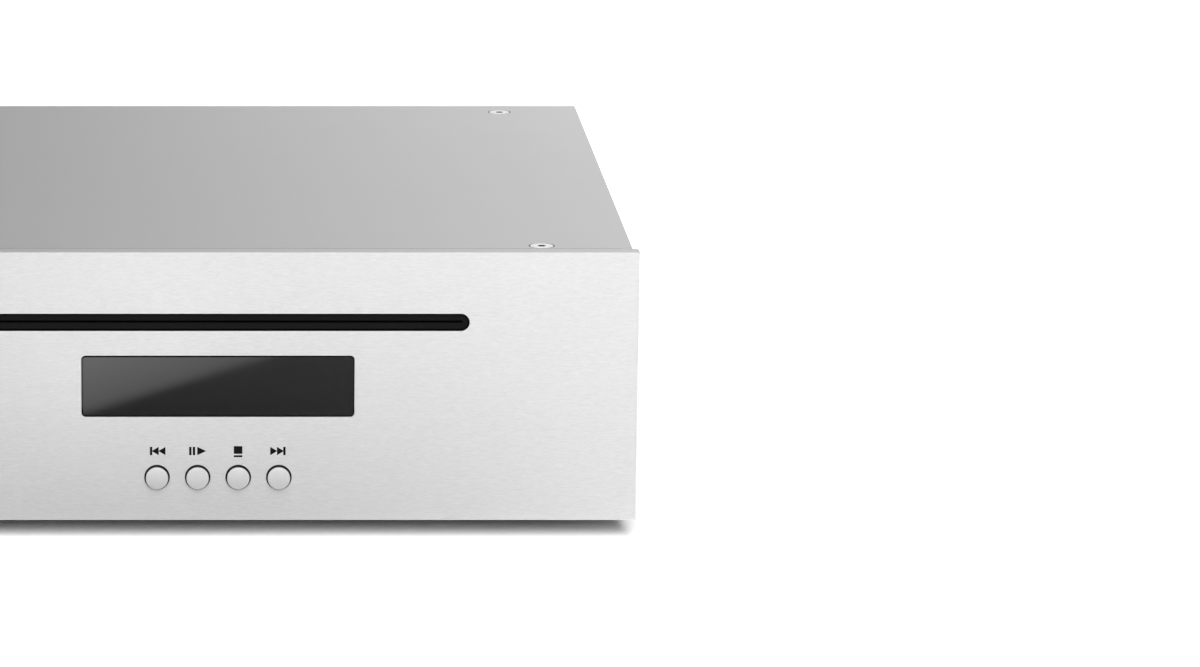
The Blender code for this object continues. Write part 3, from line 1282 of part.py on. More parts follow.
def clamp_arm():
    """The arm over the disc, modelled level, then raised to its rest."""
    plate_back = CLAMP_PIVOT_Y - CLAMP_PLATE_SETBACK
    z = (CLAMP_PLATE_Z, CLAMP_PLATE_TOP_Z)
    half = CLAMP_HALF_WIDTH
    outline = [(half, plate_back), (half, SPINDLE_Y)]
    for step in range(1, ARM_END_STEPS):
        angle = -math.pi * step / ARM_END_STEPS
        outline.append((half * math.cos(angle), SPINDLE_Y + half * math.sin(angle)))
    outline += [(-half, SPINDLE_Y), (-half, plate_back)]
    arm = prism("Z", outline, *z)
    finger_half = CLAMP_FINGER_WIDTH / 2
    added = [
        box(
            (-CAM_OUTER_X + FIT_GAP, -half + CLAMP_PLATE_THICK),
            (CLAMP_FINGER_Y - finger_half, CLAMP_FINGER_Y + finger_half),
            z,
        )
    ]
    flange_y = (CLAMP_PIVOT_Y - CLAMP_FLANGE_LENGTH, CLAMP_PIVOT_Y + CLAMP_FLANGE_TAIL)
    for side in SIDES.values():
        flange_x = sorted((side * half, side * (half - CLAMP_PLATE_THICK)))
        flange = [
            (flange_y[0], CLAMP_PLATE_Z),
            (plate_back, CLAMP_PLATE_Z),
            (flange_y[1], CLAMP_PIVOT_Z - CLAMP_PIN_RADIUS - CLAMP_PLATE_THICK / 2),
            (flange_y[1], CLAMP_PIVOT_Z + CLAMP_FLANGE_RISE),
            (flange_y[0], CLAMP_PIVOT_Z + CLAMP_FLANGE_RISE),
        ]
        added.append(prism("X", flange, *flange_x))
    pin_x = half + CLAMP_EAR_GAP + TOP_PLATE_SHEET + FIT_GAP
    pivot = (CLAMP_PIVOT_Y, CLAMP_PIVOT_Z)
    added.append(cylinder("X", pivot, CLAMP_PIN_RADIUS, -pin_x, pin_x, SMALL_SIDES))
    unite(arm, *added)
    hole_z = (CLAMP_PLATE_Z - CUT_OVERRUN, CLAMP_PLATE_TOP_Z + CUT_OVERRUN)
    carve(arm, cylinder("Z", (0, SPINDLE_Y), PUCK_NECK_RADIUS + PUCK_NECK_CLEARANCE, *hole_z))
    return node("clamp_arm", arm, "zinc_sheet", (0, *pivot))


def clamp_puck(arm):
    """The puck that hangs in the arm and presses the disc onto the turntable."""
    bottom = TURNTABLE_Z + DISC_THICK + FIT_GAP
    cap_z = CLAMP_PLATE_TOP_Z + FIT_GAP
    profile = [
        (PUCK_RADIUS, bottom),
        (PUCK_RADIUS, bottom + PUCK_THICK),
        (PUCK_NECK_RADIUS, bottom + PUCK_THICK),
        (PUCK_NECK_RADIUS, cap_z),
        (PUCK_CAP_RADIUS, cap_z),
        (PUCK_CAP_RADIUS, cap_z + PUCK_CAP_THICK),
    ]
    puck = turned("Z", (0, SPINDLE_Y), profile)
    carry(node("clamp_puck", puck, "black_plastic", (0, SPINDLE_Y, bottom)), arm)


def clamp_spring():
    """A torsion spring on the arm's pin: its coil, a leg over the arm and one on the top plate."""
    centre_y = CLAMP_PIVOT_Y
    centre_z = CLAMP_PIVOT_Z
    count = SPRING_TURNS * SPRING_TURN_POINTS
    length = SPRING_PITCH * SPRING_TURNS
    points = []
    tip = step_from((centre_y, centre_z), SPRING_COIL_RADIUS, math.pi / 2)
    arm_slope = math.tan(CLAMP_SWING)
    rest_z = centre_z - CLAMP_PIVOT_RISE + CLAMP_PLATE_THICK + SPRING_LEG * arm_slope
    leg_z = rest_z + SPRING_LEG_GAP + SPRING_WIRE_RADIUS
    points.append((-length / 2, tip[0] - SPRING_LEG, leg_z))
    for step in range(count + SPRING_TURN_POINTS // 2 + 1):
        angle = math.pi / 2 + math.tau * step / SPRING_TURN_POINTS
        across = -length / 2 + SPRING_PITCH * step / SPRING_TURN_POINTS
        y, z = step_from((centre_y, centre_z), SPRING_COIL_RADIUS, -angle + math.pi)
        points.append((across, y, z))
    last = points[-1]
    low = TOP_PLATE_TOP_Z + FIT_GAP + SPRING_WIRE_RADIUS
    points.append((last[0], centre_y + SPRING_LEG / 2, low))
    curve = bpy.data.curves.new("clamp_spring", "CURVE")
    curve.dimensions = "3D"
    curve.bevel_depth = SPRING_WIRE_RADIUS
    curve.bevel_resolution = 1
    curve.use_fill_caps = True
    spline = curve.splines.new("POLY")
    spline.points.add(len(points) - 1)
    for place, (x, y, z) in zip(spline.points, points):
        place.co = (x, y - centre_y, z - centre_z, 1)
    spring = bpy.data.objects.new("clamp_spring", curve)
    bpy.context.scene.collection.objects.link(spring)
    spring.location = (0, centre_y, centre_z)
    curve.materials.append(finish_material("spring_steel"))
    return spring


# Disc drive


def damper_places():
    """The three dampers under the traverse chassis, as (name, x, y)."""
    left = DAMPER_EDGE - TRAVERSE_LEFT
    right = TRAVERSE_RIGHT - DAMPER_SIDE_EDGE
    front = SPINDLE_Y - TRAVERSE_FRONT + DAMPER_EDGE
    back = SPINDLE_Y + TRAVERSE_BACK - DAMPER_EDGE
    return [
        ("front_left", left, front),
        ("rear_left", left, back),
        ("right", right, (front + back) / 2),
    ]


ROD_Z = TRAVERSE_Z - ROD_FALL
ROD_FRONT_Y = SPINDLE_Y + PICKUP_HOME - PICKUP_AHEAD - ROD_BOSS_LENGTH - ROD_END_GAP
PICKUP_Y = SPINDLE_Y + PICKUP_HOME
ROD_BACK_Y = PICKUP_Y + PICKUP_TRAVEL + PICKUP_BEHIND + ROD_END_GAP
PICKUP_TOP_Z = TRAVERSE_Z - PICKUP_PLATE_GAP
PICKUP_BOTTOM_Z = PICKUP_TOP_Z - PICKUP_BODY_HEIGHT
TOWER_TOP_Z = PICKUP_TOP_Z + PICKUP_TOWER_RISE
SLED_Y = SPINDLE_Y + SLED_SETBACK
RACK_ROOT_X = -PICKUP_HALF_WIDTH - RACK_BAR
RACK_PITCH_X = RACK_ROOT_X - GEAR_MODULE * DEDENDUM_SHARE
SLED_X = RACK_PITCH_X - pitch_radius(SLED_PINION_TEETH)
SLED_CENTRE = (SLED_X, SLED_Y)
SLED_DISTANCE = pitch_radius(SLED_WHEEL_TEETH) + pitch_radius(SLED_MOTOR_TEETH)
SLED_MOTOR_CENTRE = step_from(SLED_CENTRE, SLED_DISTANCE, SLED_MOTOR_ANGLE)
SLED_WHEEL_TOP_Z = PICKUP_BOTTOM_Z - SLED_WHEEL_GAP
SLED_WHEEL_Z = SLED_WHEEL_TOP_Z - SLED_WHEEL_THICK
RACK_TOP_Z = PICKUP_BOTTOM_Z + RACK_HEIGHT
SLED_WHEEL_PHASE = SLED_MOTOR_ANGLE
SLED_MOTOR_PHASE = mesh_phase(SLED_WHEEL_PHASE, SLED_WHEEL_TEETH, SLED_MOTOR_TEETH, SLED_MOTOR_ANGLE)


def traverse_chassis():
    """The plate that carries the turntable's motor, the guide rods and the sled drive."""
    plate = box(
        (-TRAVERSE_LEFT, TRAVERSE_RIGHT),
        (SPINDLE_Y - TRAVERSE_FRONT, SPINDLE_Y + TRAVERSE_BACK),
        (TRAVERSE_Z, TRAVERSE_TOP_Z),
    )
    boss_z = (TRAVERSE_Z - ROD_BOSS_HEIGHT, TRAVERSE_TOP_Z)
    added = []
    for side in SIDES.values():
        x = side * ROD_HALF_SPACING
        boss_x = (x - ROD_BOSS_HALF_WIDTH, x + ROD_BOSS_HALF_WIDTH)
        added.append(box(boss_x, (ROD_FRONT_Y, ROD_FRONT_Y + ROD_BOSS_LENGTH), boss_z))
        added.append(box(boss_x, (ROD_BACK_Y, ROD_BACK_Y + ROD_BOSS_LENGTH), boss_z))
    added.append(
        cylinder("Z", SLED_CENTRE, SLED_AXLE_RADIUS, SLED_WHEEL_Z, TRAVERSE_TOP_Z, SMALL_SIDES)
    )
    added.append(
        cylinder("Z", SLED_CENTRE, SLED_COLLAR_RADIUS, RACK_TOP_Z + FIT_GAP, TRAVERSE_TOP_Z, SMALL_SIDES)
    )
    unite(plate, *added)

    plate_cut = (TRAVERSE_Z - CUT_OVERRUN, TRAVERSE_TOP_Z + CUT_OVERRUN)
    window_x = PICKUP_TOWER_HALF_WIDTH + PICKUP_WINDOW_MARGIN
    window_reach = PICKUP_TOWER_HALF_LENGTH + PICKUP_WINDOW_MARGIN
    cuts = [
        cylinder("Z", (0, SPINDLE_Y), SPINDLE_HOLE_RADIUS, *plate_cut),
        box(
            (-window_x, window_x),
            (PICKUP_Y - window_reach, PICKUP_Y + PICKUP_TRAVEL + window_reach),
            plate_cut,
        ),
    ]
    rod_cut = (
        ROD_FRONT_Y + ROD_END_GAP,
        ROD_BACK_Y + ROD_BOSS_LENGTH - ROD_END_GAP,
    )
    for side in SIDES.values():
        centre = (side * ROD_HALF_SPACING, ROD_Z)
        cuts.append(cylinder("Y", centre, ROD_RADIUS + FIT_GAP, *rod_cut, SMALL_SIDES))
    carve(plate, *cuts)
    return node("traverse_chassis", plate, "zinc_sheet", (0, SPINDLE_Y, TRAVERSE_Z))


def dampers():
    """Three waisted rubber dampers between the loader base and the traverse chassis."""
    low = LOADER_BASE_Z + FIT_GAP
    high = TRAVERSE_Z - FIT_GAP
    middle = (low + high) / 2
    for label, x, y in damper_places():
        profile = [
            (DAMPER_RADIUS, low),
            (DAMPER_RADIUS, low + DAMPER_RIM),
            (DAMPER_WAIST_RADIUS, middle),
            (DAMPER_RADIUS, high - DAMPER_RIM),
            (DAMPER_RADIUS, high),
        ]
        damper = turned("Z", (x, y), profile, SMALL_SIDES)
        node(f"damper_{label}", damper, "black_rubber", (x, y, low))


def spindle():
    """The spindle motor under the traverse chassis and the turntable on its shaft."""
    centre = (0, SPINDLE_Y)
    motor_top = TRAVERSE_Z - FIT_GAP
    shaft_low = motor_top - SPINDLE_SHAFT_REACH
    motor = cylinder("Z", centre, SPINDLE_MOTOR_RADIUS, motor_top - SPINDLE_MOTOR_HEIGHT, motor_top)
    bore_z = (shaft_low - FIT_GAP, motor_top + CUT_OVERRUN)
    carve(motor, cylinder("Z", centre, SPINDLE_SHAFT_RADIUS + FIT_GAP, *bore_z, SMALL_SIDES))
    node("spindle_motor", motor, "motor_steel", (*centre, motor_top))

    profile = [
        (SPINDLE_SHAFT_RADIUS, shaft_low),
        (SPINDLE_SHAFT_RADIUS, TRAVERSE_Z + HUB_GAP),
        (TURNTABLE_HUB_RADIUS, TRAVERSE_Z + HUB_GAP),
        (TURNTABLE_HUB_RADIUS, TURNTABLE_Z - TURNTABLE_THICK),
        (TURNTABLE_RADIUS, TURNTABLE_Z - TURNTABLE_THICK),
        (TURNTABLE_RADIUS, TURNTABLE_Z),
        (CONE_BASE_RADIUS, TURNTABLE_Z),
        (CONE_TOP_RADIUS, TURNTABLE_Z + DISC_THICK),
    ]
    table = turned("Z", centre, profile)
    node("turntable", table, "black_plastic", (*centre, TURNTABLE_Z))


def guide_rods():
    """Two polished rods that the pickup runs on."""
    low = ROD_FRONT_Y + ROD_END_GAP + FIT_GAP
    high = ROD_BACK_Y + ROD_BOSS_LENGTH - ROD_END_GAP - FIT_GAP
    for side_name, side in SIDES.items():
        centre = (side * ROD_HALF_SPACING, ROD_Z)
        rod = cylinder("Y", centre, ROD_RADIUS, low, high, SMALL_SIDES)
        node(f"guide_rod_{side_name}", rod, "polished_rod", (centre[0], low, centre[1]))


def rack_outline(low_y, high_y):
    """The rack beside the pickup, with a gap facing the sled gear's axis at rest."""
    root_half, tip_half = tooth_half_widths()
    pitch = math.pi * GEAR_MODULE
    tip_x = RACK_PITCH_X - GEAR_MODULE * ADDENDUM_SHARE
    first = math.ceil((low_y + root_half - SLED_Y) / pitch - RACK_TEETH_SHARE)
    last = math.floor((high_y - root_half - SLED_Y) / pitch - RACK_TEETH_SHARE)
    inner_x = -PICKUP_HALF_WIDTH + RACK_BAR / 2
    points = [(inner_x, high_y), (inner_x, low_y), (RACK_ROOT_X, low_y)]
    for tooth in range(first, last + 1):
        middle = SLED_Y + pitch * (tooth + RACK_TEETH_SHARE)
        points.append((RACK_ROOT_X, middle - root_half))
        points.append((tip_x, middle - tip_half))
        points.append((tip_x, middle + tip_half))
        points.append((RACK_ROOT_X, middle + root_half))
    points.append((RACK_ROOT_X, high_y))
    return points


def optical_pickup():
    """The pickup at its inner end: body on the rods, tower with the lens well, and the rack."""
    body_y = (PICKUP_Y - PICKUP_AHEAD, PICKUP_Y + PICKUP_BEHIND)
    body = box((-PICKUP_HALF_WIDTH, PICKUP_HALF_WIDTH), body_y, (PICKUP_BOTTOM_Z, PICKUP_TOP_Z))
    half_w = PICKUP_TOWER_HALF_WIDTH
    half_l = PICKUP_TOWER_HALF_LENGTH
    tower = box((-half_w, half_w), (PICKUP_Y - half_l, PICKUP_Y + half_l), (PICKUP_BOTTOM_Z, TOWER_TOP_Z))
    margin = math.pi * GEAR_MODULE
    rack_low = SLED_Y - PICKUP_TRAVEL - margin
    rack = prism("Z", rack_outline(rack_low, body_y[1]), PICKUP_BOTTOM_Z, RACK_TOP_Z)
    unite(body, tower, rack)
    cuts = []
    for side in SIDES.values():
        centre = (side * ROD_HALF_SPACING, ROD_Z)
        bore_y = (body_y[0] - CUT_OVERRUN, body_y[1] + CUT_OVERRUN)
        cuts.append(cylinder("Y", centre, ROD_RADIUS + ROD_BORE_GAP, *bore_y, SMALL_SIDES))
    well_low = TOWER_TOP_Z + LENS_RISE - LENS_HEIGHT - LENS_TRAVEL - FIT_GAP
    cuts.append(
        cylinder(
            "Z", (0, PICKUP_Y), LENS_RADIUS + LENS_WELL_CLEARANCE, well_low, TOWER_TOP_Z + CUT_OVERRUN
        )
    )
    carve(body, *cuts)
    return node("optical_pickup", body, "black_plastic", (0, PICKUP_Y, ROD_Z))


def objective_lens(pickup):
    """The lens in its holder, which rises and falls to focus."""
    top = TOWER_TOP_Z + LENS_RISE
    low = top - LENS_HEIGHT
    profile = [
        (LENS_RADIUS, low),
        (LENS_RADIUS, top - LENS_CROWN),
        (LENS_CROWN_RADIUS, top),
    ]
    lens = turned("Z", (0, PICKUP_Y), profile)
    carry(node("objective_lens", lens, "lens_glass", (0, PICKUP_Y, low)), pickup)


def sled_drive():
    """The sled gear on its axle, and the sled motor with its pinion."""
    wheel_z = (SLED_WHEEL_Z, SLED_WHEEL_TOP_Z)
    wheel = prism("Z", gear_outline(SLED_CENTRE, SLED_WHEEL_TEETH, SLED_WHEEL_PHASE), *wheel_z)
    pinion_z = (SLED_WHEEL_Z, RACK_TOP_Z)
    pinion = prism("Z", gear_outline(SLED_CENTRE, SLED_PINION_TEETH, 0), *pinion_z)
    unite(wheel, pinion)
    bore_z = (SLED_WHEEL_Z - CUT_OVERRUN, RACK_TOP_Z + CUT_OVERRUN)
    carve(wheel, cylinder("Z", SLED_CENTRE, SLED_AXLE_RADIUS + FIT_GAP, *bore_z, SMALL_SIDES))
    node("sled_gear", wheel, "white_plastic", (*SLED_CENTRE, SLED_WHEEL_Z))

    motor_z = (SLED_WHEEL_TOP_Z + SLED_MOTOR_FLOOR, TRAVERSE_Z - FIT_GAP)
    shaft_top = motor_z[0] + SLED_SHAFT_REACH
    outline = gear_outline(SLED_MOTOR_CENTRE, SLED_MOTOR_TEETH, SLED_MOTOR_PHASE)
    motor_pinion = prism("Z", outline, *wheel_z)
    shaft = cylinder("Z", SLED_MOTOR_CENTRE, SLED_SHAFT_RADIUS, SLED_WHEEL_Z, shaft_top, SMALL_SIDES)
    unite(motor_pinion, shaft)
    node("sled_pinion", motor_pinion, "white_plastic", (*SLED_MOTOR_CENTRE, SLED_WHEEL_Z))

    motor = cylinder("Z", SLED_MOTOR_CENTRE, SLED_MOTOR_RADIUS, *motor_z)
    bore = (motor_z[0] - CUT_OVERRUN, shaft_top + FIT_GAP)
    carve(motor, cylinder("Z", SLED_MOTOR_CENTRE, SLED_SHAFT_RADIUS + FIT_GAP, *bore, SMALL_SIDES))
    node("sled_motor", motor, "motor_steel", (*SLED_MOTOR_CENTRE, motor_z[0]))


# Electronics and rear sockets


def main_board():
    """The main board with its chip, capacitors and the flat cable's connector."""
    board = box(
        (-MAIN_BOARD_HALF_WIDTH, MAIN_BOARD_HALF_WIDTH),
        (MAIN_BOARD_FRONT_Y, MAIN_BOARD_BACK_Y),
        (MAIN_BOARD_Z, MAIN_BOARD_TOP_Z),
    )
    middle_y = (MAIN_BOARD_FRONT_Y + MAIN_BOARD_BACK_Y) / 2
    half = CHIP_SIDE / 2
    chip = box(
        (-half, half),
        (middle_y - half, middle_y + half),
        (MAIN_BOARD_Z, MAIN_BOARD_TOP_Z + CHIP_HEIGHT),
    )
    connector = box(
        (CABLE_X - CONNECTOR_WIDTH / 2, CABLE_X + CONNECTOR_WIDTH / 2),
        (MAIN_BOARD_FRONT_Y, MAIN_BOARD_FRONT_Y + CONNECTOR_DEPTH),
        (MAIN_BOARD_Z, MAIN_BOARD_TOP_Z + CONNECTOR_HEIGHT),
    )
    added = [chip, connector]
    for step in range(CAPACITOR_COUNT):
        centre = (INLET_X - step * CAPACITOR_PITCH, middle_y + CAPACITOR_SETBACK)
        top = MAIN_BOARD_TOP_Z + CAPACITOR_HEIGHT
        added.append(cylinder("Z", centre, CAPACITOR_RADIUS, MAIN_BOARD_Z, top, SMALL_SIDES))
    unite(board, *added)
    return node("main_board", board, "circuit_board", (0, middle_y, MAIN_BOARD_Z))


def front_flat_cable():
    """The flat cable from the front board to the main board, sagging between its connectors."""
    front = FRONT_BOARD_BACK_Y + CONNECTOR_DEPTH + FIT_GAP
    back = MAIN_BOARD_FRONT_Y - FIT_GAP
    lower = []
    upper = []
    for step in range(CABLE_STEPS + 1):
        share = step / CABLE_STEPS
        y = front + (back - front) * share
        z = CABLE_Z - CABLE_SAG * math.sin(math.pi * share) ** 2
        lower.append((y, z - CABLE_THICK / 2))
        upper.append((y, z + CABLE_THICK / 2))
    cable = prism("X", lower + upper[::-1], CABLE_X - CABLE_WIDTH / 2, CABLE_X + CABLE_WIDTH / 2)
    return node("front_flat_cable", cable, "cable_white", (CABLE_X, front, CABLE_Z))


def audio_jack_pair():
    """Two coaxial sockets in one housing, their collars through the rear panel."""
    half = JACK_HOUSING_WIDTH / 2
    housing = box(
        (JACK_PAIR_X - half, JACK_PAIR_X + half),
        (SOCKET_BACK_Y - JACK_HOUSING_DEPTH, SOCKET_BACK_Y),
        (SOCKET_Z, SOCKET_Z + JACK_HOUSING_HEIGHT),
    )
    collar_back = REAR_Y + JACK_REACH
    collars = []
    bores = []
    for side in SIDES.values():
        centre = (JACK_PAIR_X + side * JACK_SPACING / 2, SOCKET_Z + JACK_RISE)
        collars.append(cylinder("Y", centre, JACK_RADIUS, SOCKET_BACK_Y - JACK_RADIUS, collar_back))
        bore_y = (collar_back - JACK_BORE_DEPTH, collar_back + CUT_OVERRUN)
        bores.append(cylinder("Y", centre, JACK_BORE_RADIUS, *bore_y, SMALL_SIDES))
    unite(housing, *collars)
    carve(housing, *bores)
    return node("audio_jack_pair", housing, "black_plastic", (JACK_PAIR_X, SOCKET_BACK_Y, SOCKET_Z))


OPTICAL_TOP_Z = SOCKET_Z + OPTICAL_HEIGHT - OPTICAL_WALL
OPTICAL_FLOOR_Z = SOCKET_Z + OPTICAL_WALL
SHUTTER_AXIS_Y = REAR_PANEL_BACK_Y - SHUTTER_RECESS - SHUTTER_THICK / 2
SHUTTER_AXIS_Z = OPTICAL_TOP_Z - SHUTTER_CLEARANCE - SHUTTER_THICK / 2


def optical_jack():
    """The optical socket's housing, open to the rear."""
    half = OPTICAL_WIDTH / 2
    housing = box(
        (OPTICAL_X - half, OPTICAL_X + half),
        (REAR_PANEL_BACK_Y - OPTICAL_DEPTH, REAR_PANEL_BACK_Y),
        (SOCKET_Z, SOCKET_Z + OPTICAL_HEIGHT),
    )
    inner = half - OPTICAL_WALL
    cavity = box(
        (OPTICAL_X - inner, OPTICAL_X + inner),
        (REAR_PANEL_BACK_Y - OPTICAL_CAVITY_DEPTH, REAR_PANEL_BACK_Y + CUT_OVERRUN),
        (OPTICAL_FLOOR_Z, OPTICAL_TOP_Z),
    )
    carve(housing, cavity)
    return node("optical_jack", housing, "black_plastic", (OPTICAL_X, REAR_PANEL_BACK_Y, SOCKET_Z))


def optical_jack_shutter():
    """The flap that closes the optical socket and swings in when a plug enters."""
    half = OPTICAL_WIDTH / 2 - OPTICAL_WALL - SHUTTER_CLEARANCE
    flap = box(
        (OPTICAL_X - half, OPTICAL_X + half),
        (SHUTTER_AXIS_Y - SHUTTER_THICK / 2, SHUTTER_AXIS_Y + SHUTTER_THICK / 2),
        (OPTICAL_FLOOR_Z + SHUTTER_FOOT_GAP, SHUTTER_AXIS_Z + SHUTTER_THICK / 2),
    )
    return node("optical_jack_shutter", flap, "black_plastic", (OPTICAL_X, SHUTTER_AXIS_Y, SHUTTER_AXIS_Z))


def power_inlet():
    """The round inlet for an outside supply, with its centre pin."""
    half = INLET_WIDTH / 2
    back = REAR_PANEL_BACK_Y
    housing = box(
        (INLET_X - half, INLET_X + half),
        (back - INLET_DEPTH, back),
        (SOCKET_Z, SOCKET_Z + INLET_HEIGHT),
    )
    centre = (INLET_X, SOCKET_Z + INLET_HEIGHT / 2)
    carve(housing, cylinder("Y", centre, INLET_BORE_RADIUS, back - INLET_BORE_DEPTH, back + CUT_OVERRUN))
    pin_low = back - (INLET_DEPTH + INLET_BORE_DEPTH) / 2
    unite(housing, cylinder("Y", centre, INLET_PIN_RADIUS, pin_low, back - INLET_PIN_SHORT, SMALL_SIDES))
    return node("power_inlet", housing, "black_plastic", (INLET_X, back, SOCKET_Z))


def build_player():
    """Model every piece of the player."""
    clear_scene()
    front_panel()
    display_window()
    slot_felt()
    bottom_chassis()
    top_cover()
    cover_screws()
    rear_panel()
    feet()
    controls()
    display_module()
    front_board()
    loader_base()
    loader_top_plate()
    disc_guide_rail()
    roller(roller_bracket())
    loading_drive()
    cam_slide()
    arm = clamp_arm()
    clamp_puck(arm)
    arm.rotation_euler.x = -CLAMP_SWING
    clamp_spring()
    traverse_chassis()
    dampers()
    spindle()
    guide_rods()
    objective_lens(optical_pickup())
    sled_drive()
    main_board()
    front_flat_cable()
    audio_jack_pair()
    optical_jack()
    optical_jack_shutter()
    power_inlet()


build_player()
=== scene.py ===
# %% [markdown]
# # A slot-loading disc player in brushed aluminium
#
# This lesson rebuilds the looks of a small hi-fi disc player around a finished CAD model.
# The CAD model fixes every size and every joint. The lesson adds what a photograph shows:
# rounded edges, printed symbols, felt, anodised metal, smoked acrylic and the light of a studio.
#
# The steps are: load the frame, set up helpers, mix the finishes, model the visible pieces,
# then place the camera and the light.

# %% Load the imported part
import json
import math

import bmesh
import bpy
from mathutils import Matrix, Vector


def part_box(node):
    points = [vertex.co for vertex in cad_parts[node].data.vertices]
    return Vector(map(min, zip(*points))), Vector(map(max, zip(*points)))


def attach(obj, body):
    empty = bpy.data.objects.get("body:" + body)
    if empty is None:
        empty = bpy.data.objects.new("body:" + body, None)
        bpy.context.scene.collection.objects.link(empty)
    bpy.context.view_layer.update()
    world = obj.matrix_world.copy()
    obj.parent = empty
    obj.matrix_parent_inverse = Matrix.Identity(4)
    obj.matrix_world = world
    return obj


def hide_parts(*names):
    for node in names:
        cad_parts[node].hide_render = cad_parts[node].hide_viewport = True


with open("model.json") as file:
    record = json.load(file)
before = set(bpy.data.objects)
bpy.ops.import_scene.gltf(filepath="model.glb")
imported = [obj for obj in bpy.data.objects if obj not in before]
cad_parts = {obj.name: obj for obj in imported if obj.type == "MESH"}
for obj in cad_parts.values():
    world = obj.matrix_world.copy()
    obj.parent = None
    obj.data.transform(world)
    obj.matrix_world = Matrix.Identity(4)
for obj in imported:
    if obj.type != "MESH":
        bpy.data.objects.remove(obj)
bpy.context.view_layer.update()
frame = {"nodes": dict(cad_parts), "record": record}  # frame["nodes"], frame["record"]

# %% [markdown]
# ## Helpers for shapes
#
# Real sheet and turned parts have no perfectly sharp edge. A tiny rounded edge catches a line of
# light, and the eye reads that line as metal. So each piece here is made the way a shop makes it:
# block it out, cut the holes, then break the edges. Booleans and bevels do that work, and both
# are baked at once, so that the finished piece is a plain mesh.

# %% Shape helpers
FINE_STEPS = 48
HOLE_STEPS = 64
BORE_STEPS = 32
SMOOTH_STEPS = 96
OVERRUN = 0.001
MARGIN = Vector((OVERRUN, OVERRUN, OVERRUN))
AXES = {"X": Vector((1, 0, 0)), "Y": Vector((0, 1, 0)), "Z": Vector((0, 0, 1))}


def shape_from(bm, name="shape"):
    """An object that holds the bmesh, with all faces turned outward."""
    bmesh.ops.recalc_face_normals(bm, faces=bm.faces)
    mesh = bpy.data.meshes.new(name)
    bm.to_mesh(mesh)
    bm.free()
    shape = bpy.data.objects.new(name, mesh)
    bpy.context.scene.collection.objects.link(shape)
    return shape


def cube(low, high):
    """The bmesh of a block between two corners."""
    low, high = Vector(low), Vector(high)
    bm = bmesh.new()
    bmesh.ops.create_cube(bm, size=1)
    bmesh.ops.scale(bm, vec=high - low, verts=bm.verts)
    bmesh.ops.translate(bm, vec=(low + high) / 2, verts=bm.verts)
    return bm


def round_edges(bm, edges, width, segments=8):
    """Round some edges of a bmesh to a quarter circle."""
    bmesh.ops.bevel(
        bm, geom=edges, offset=width, segments=segments, profile=0.5, affect="EDGES", material=-1
    )


def block(low, high, rounded=0.0, segments=8):
    """A block between two corners. Its four edges along Y can be rounded."""
    bm = cube(low, high)
    if rounded:
        edges = []
        for edge in bm.edges:
            start, end = edge.verts
            if abs((end.co - start.co).normalized().y) > 0.5:
                edges.append(edge)
        round_edges(bm, edges, rounded, segments)
    return shape_from(bm)


def lathe(axis, centre, profile, steps=FINE_STEPS):
    """A turned shape: the profile lists (radius, place on the axis) from one end to the other."""
    along = AXES[axis]
    outward = AXES["X"] if axis == "Z" else AXES["Z"]
    middle = Vector(centre) - Vector(centre).dot(along) * along
    bm = bmesh.new()
    points = [bm.verts.new(middle + radius * outward + place * along) for radius, place in profile]
    line = [bm.edges.new(pair) for pair in zip(points, points[1:])]
    bmesh.ops.spin(
        bm,
        geom=points + line,
        cent=middle,
        axis=along,
        angle=math.tau,
        steps=steps,
        use_merge=True,
    )
    bmesh.ops.remove_doubles(bm, verts=bm.verts, dist=0.000001)
    bmesh.ops.holes_fill(bm, edges=[edge for edge in bm.edges if edge.is_boundary], sides=0)
    return shape_from(bm)


def cylinder(axis, centre, radius, start, end, steps=HOLE_STEPS):
    """A plain round bar, which mostly serves as a drill."""
    return lathe(axis, centre, [(radius, start), (radius, end)], steps)


def bake(shape):
    """Turn the shape's modifiers into plain mesh."""
    bpy.context.view_layer.update()
    evaluated = shape.evaluated_get(bpy.context.evaluated_depsgraph_get())
    mesh = bpy.data.meshes.new_from_object(evaluated)
    shape.modifiers.clear()
    shape.data = mesh
    return shape


def combine(shape, tools, operation):
    """Join the tools to the shape, or cut them out of it."""
    for tool in tools:
        step = shape.modifiers.new("combine", "BOOLEAN")
        step.operation = operation
        step.object = tool
    bake(shape)
    for tool in tools:
        bpy.data.objects.remove(tool, do_unlink=True)
    return shape


def cut(shape, *tools):
    """Cut the tools out of the shape."""
    return combine(shape, tools, "DIFFERENCE")


def weld(shape, *tools):
    """Join the tools to the shape."""
    return combine(shape, tools, "UNION")


def soften(shape, width, segments=3, angle=40):
    """Round every edge that is sharper than the angle."""
    step = shape.modifiers.new("soften", "BEVEL")
    step.width = width
    step.segments = segments
    step.limit_method = "ANGLE"
    step.angle_limit = math.radians(angle)
    step.miter_outer = "MITER_ARC"
    return bake(shape)


# %% [markdown]
# ## Helpers for finishes
#
# No real surface has one flat colour. Metal shows the marks of the tool that made it, plastic has
# a moulded grain, and everything is a little uneven over a few centimetres. Two layers of noise
# give both: a fine one for the grain, which also drives a small bump, and a broad one that shifts
# the gloss. Both read the piece's own coordinates in metres, so the grain keeps its real size.

# %% Material helpers
BUMP_STRENGTH = 0.6


def add(tree, kind, inputs=None, **settings):
    """Add a shader node. Each input takes a plain value or another node's output."""
    item = tree.nodes.new("ShaderNode" + kind)
    for field, value in settings.items():
        setattr(item, field, value)
    for label, value in (inputs or {}).items():
        if isinstance(value, bpy.types.NodeSocket):
            tree.links.new(value, item.inputs[label])
        else:
            item.inputs[label].default_value = value
    return item


def own_place(tree):
    """The piece's own coordinates in metres."""
    return add(tree, "TexCoord").outputs["Object"]


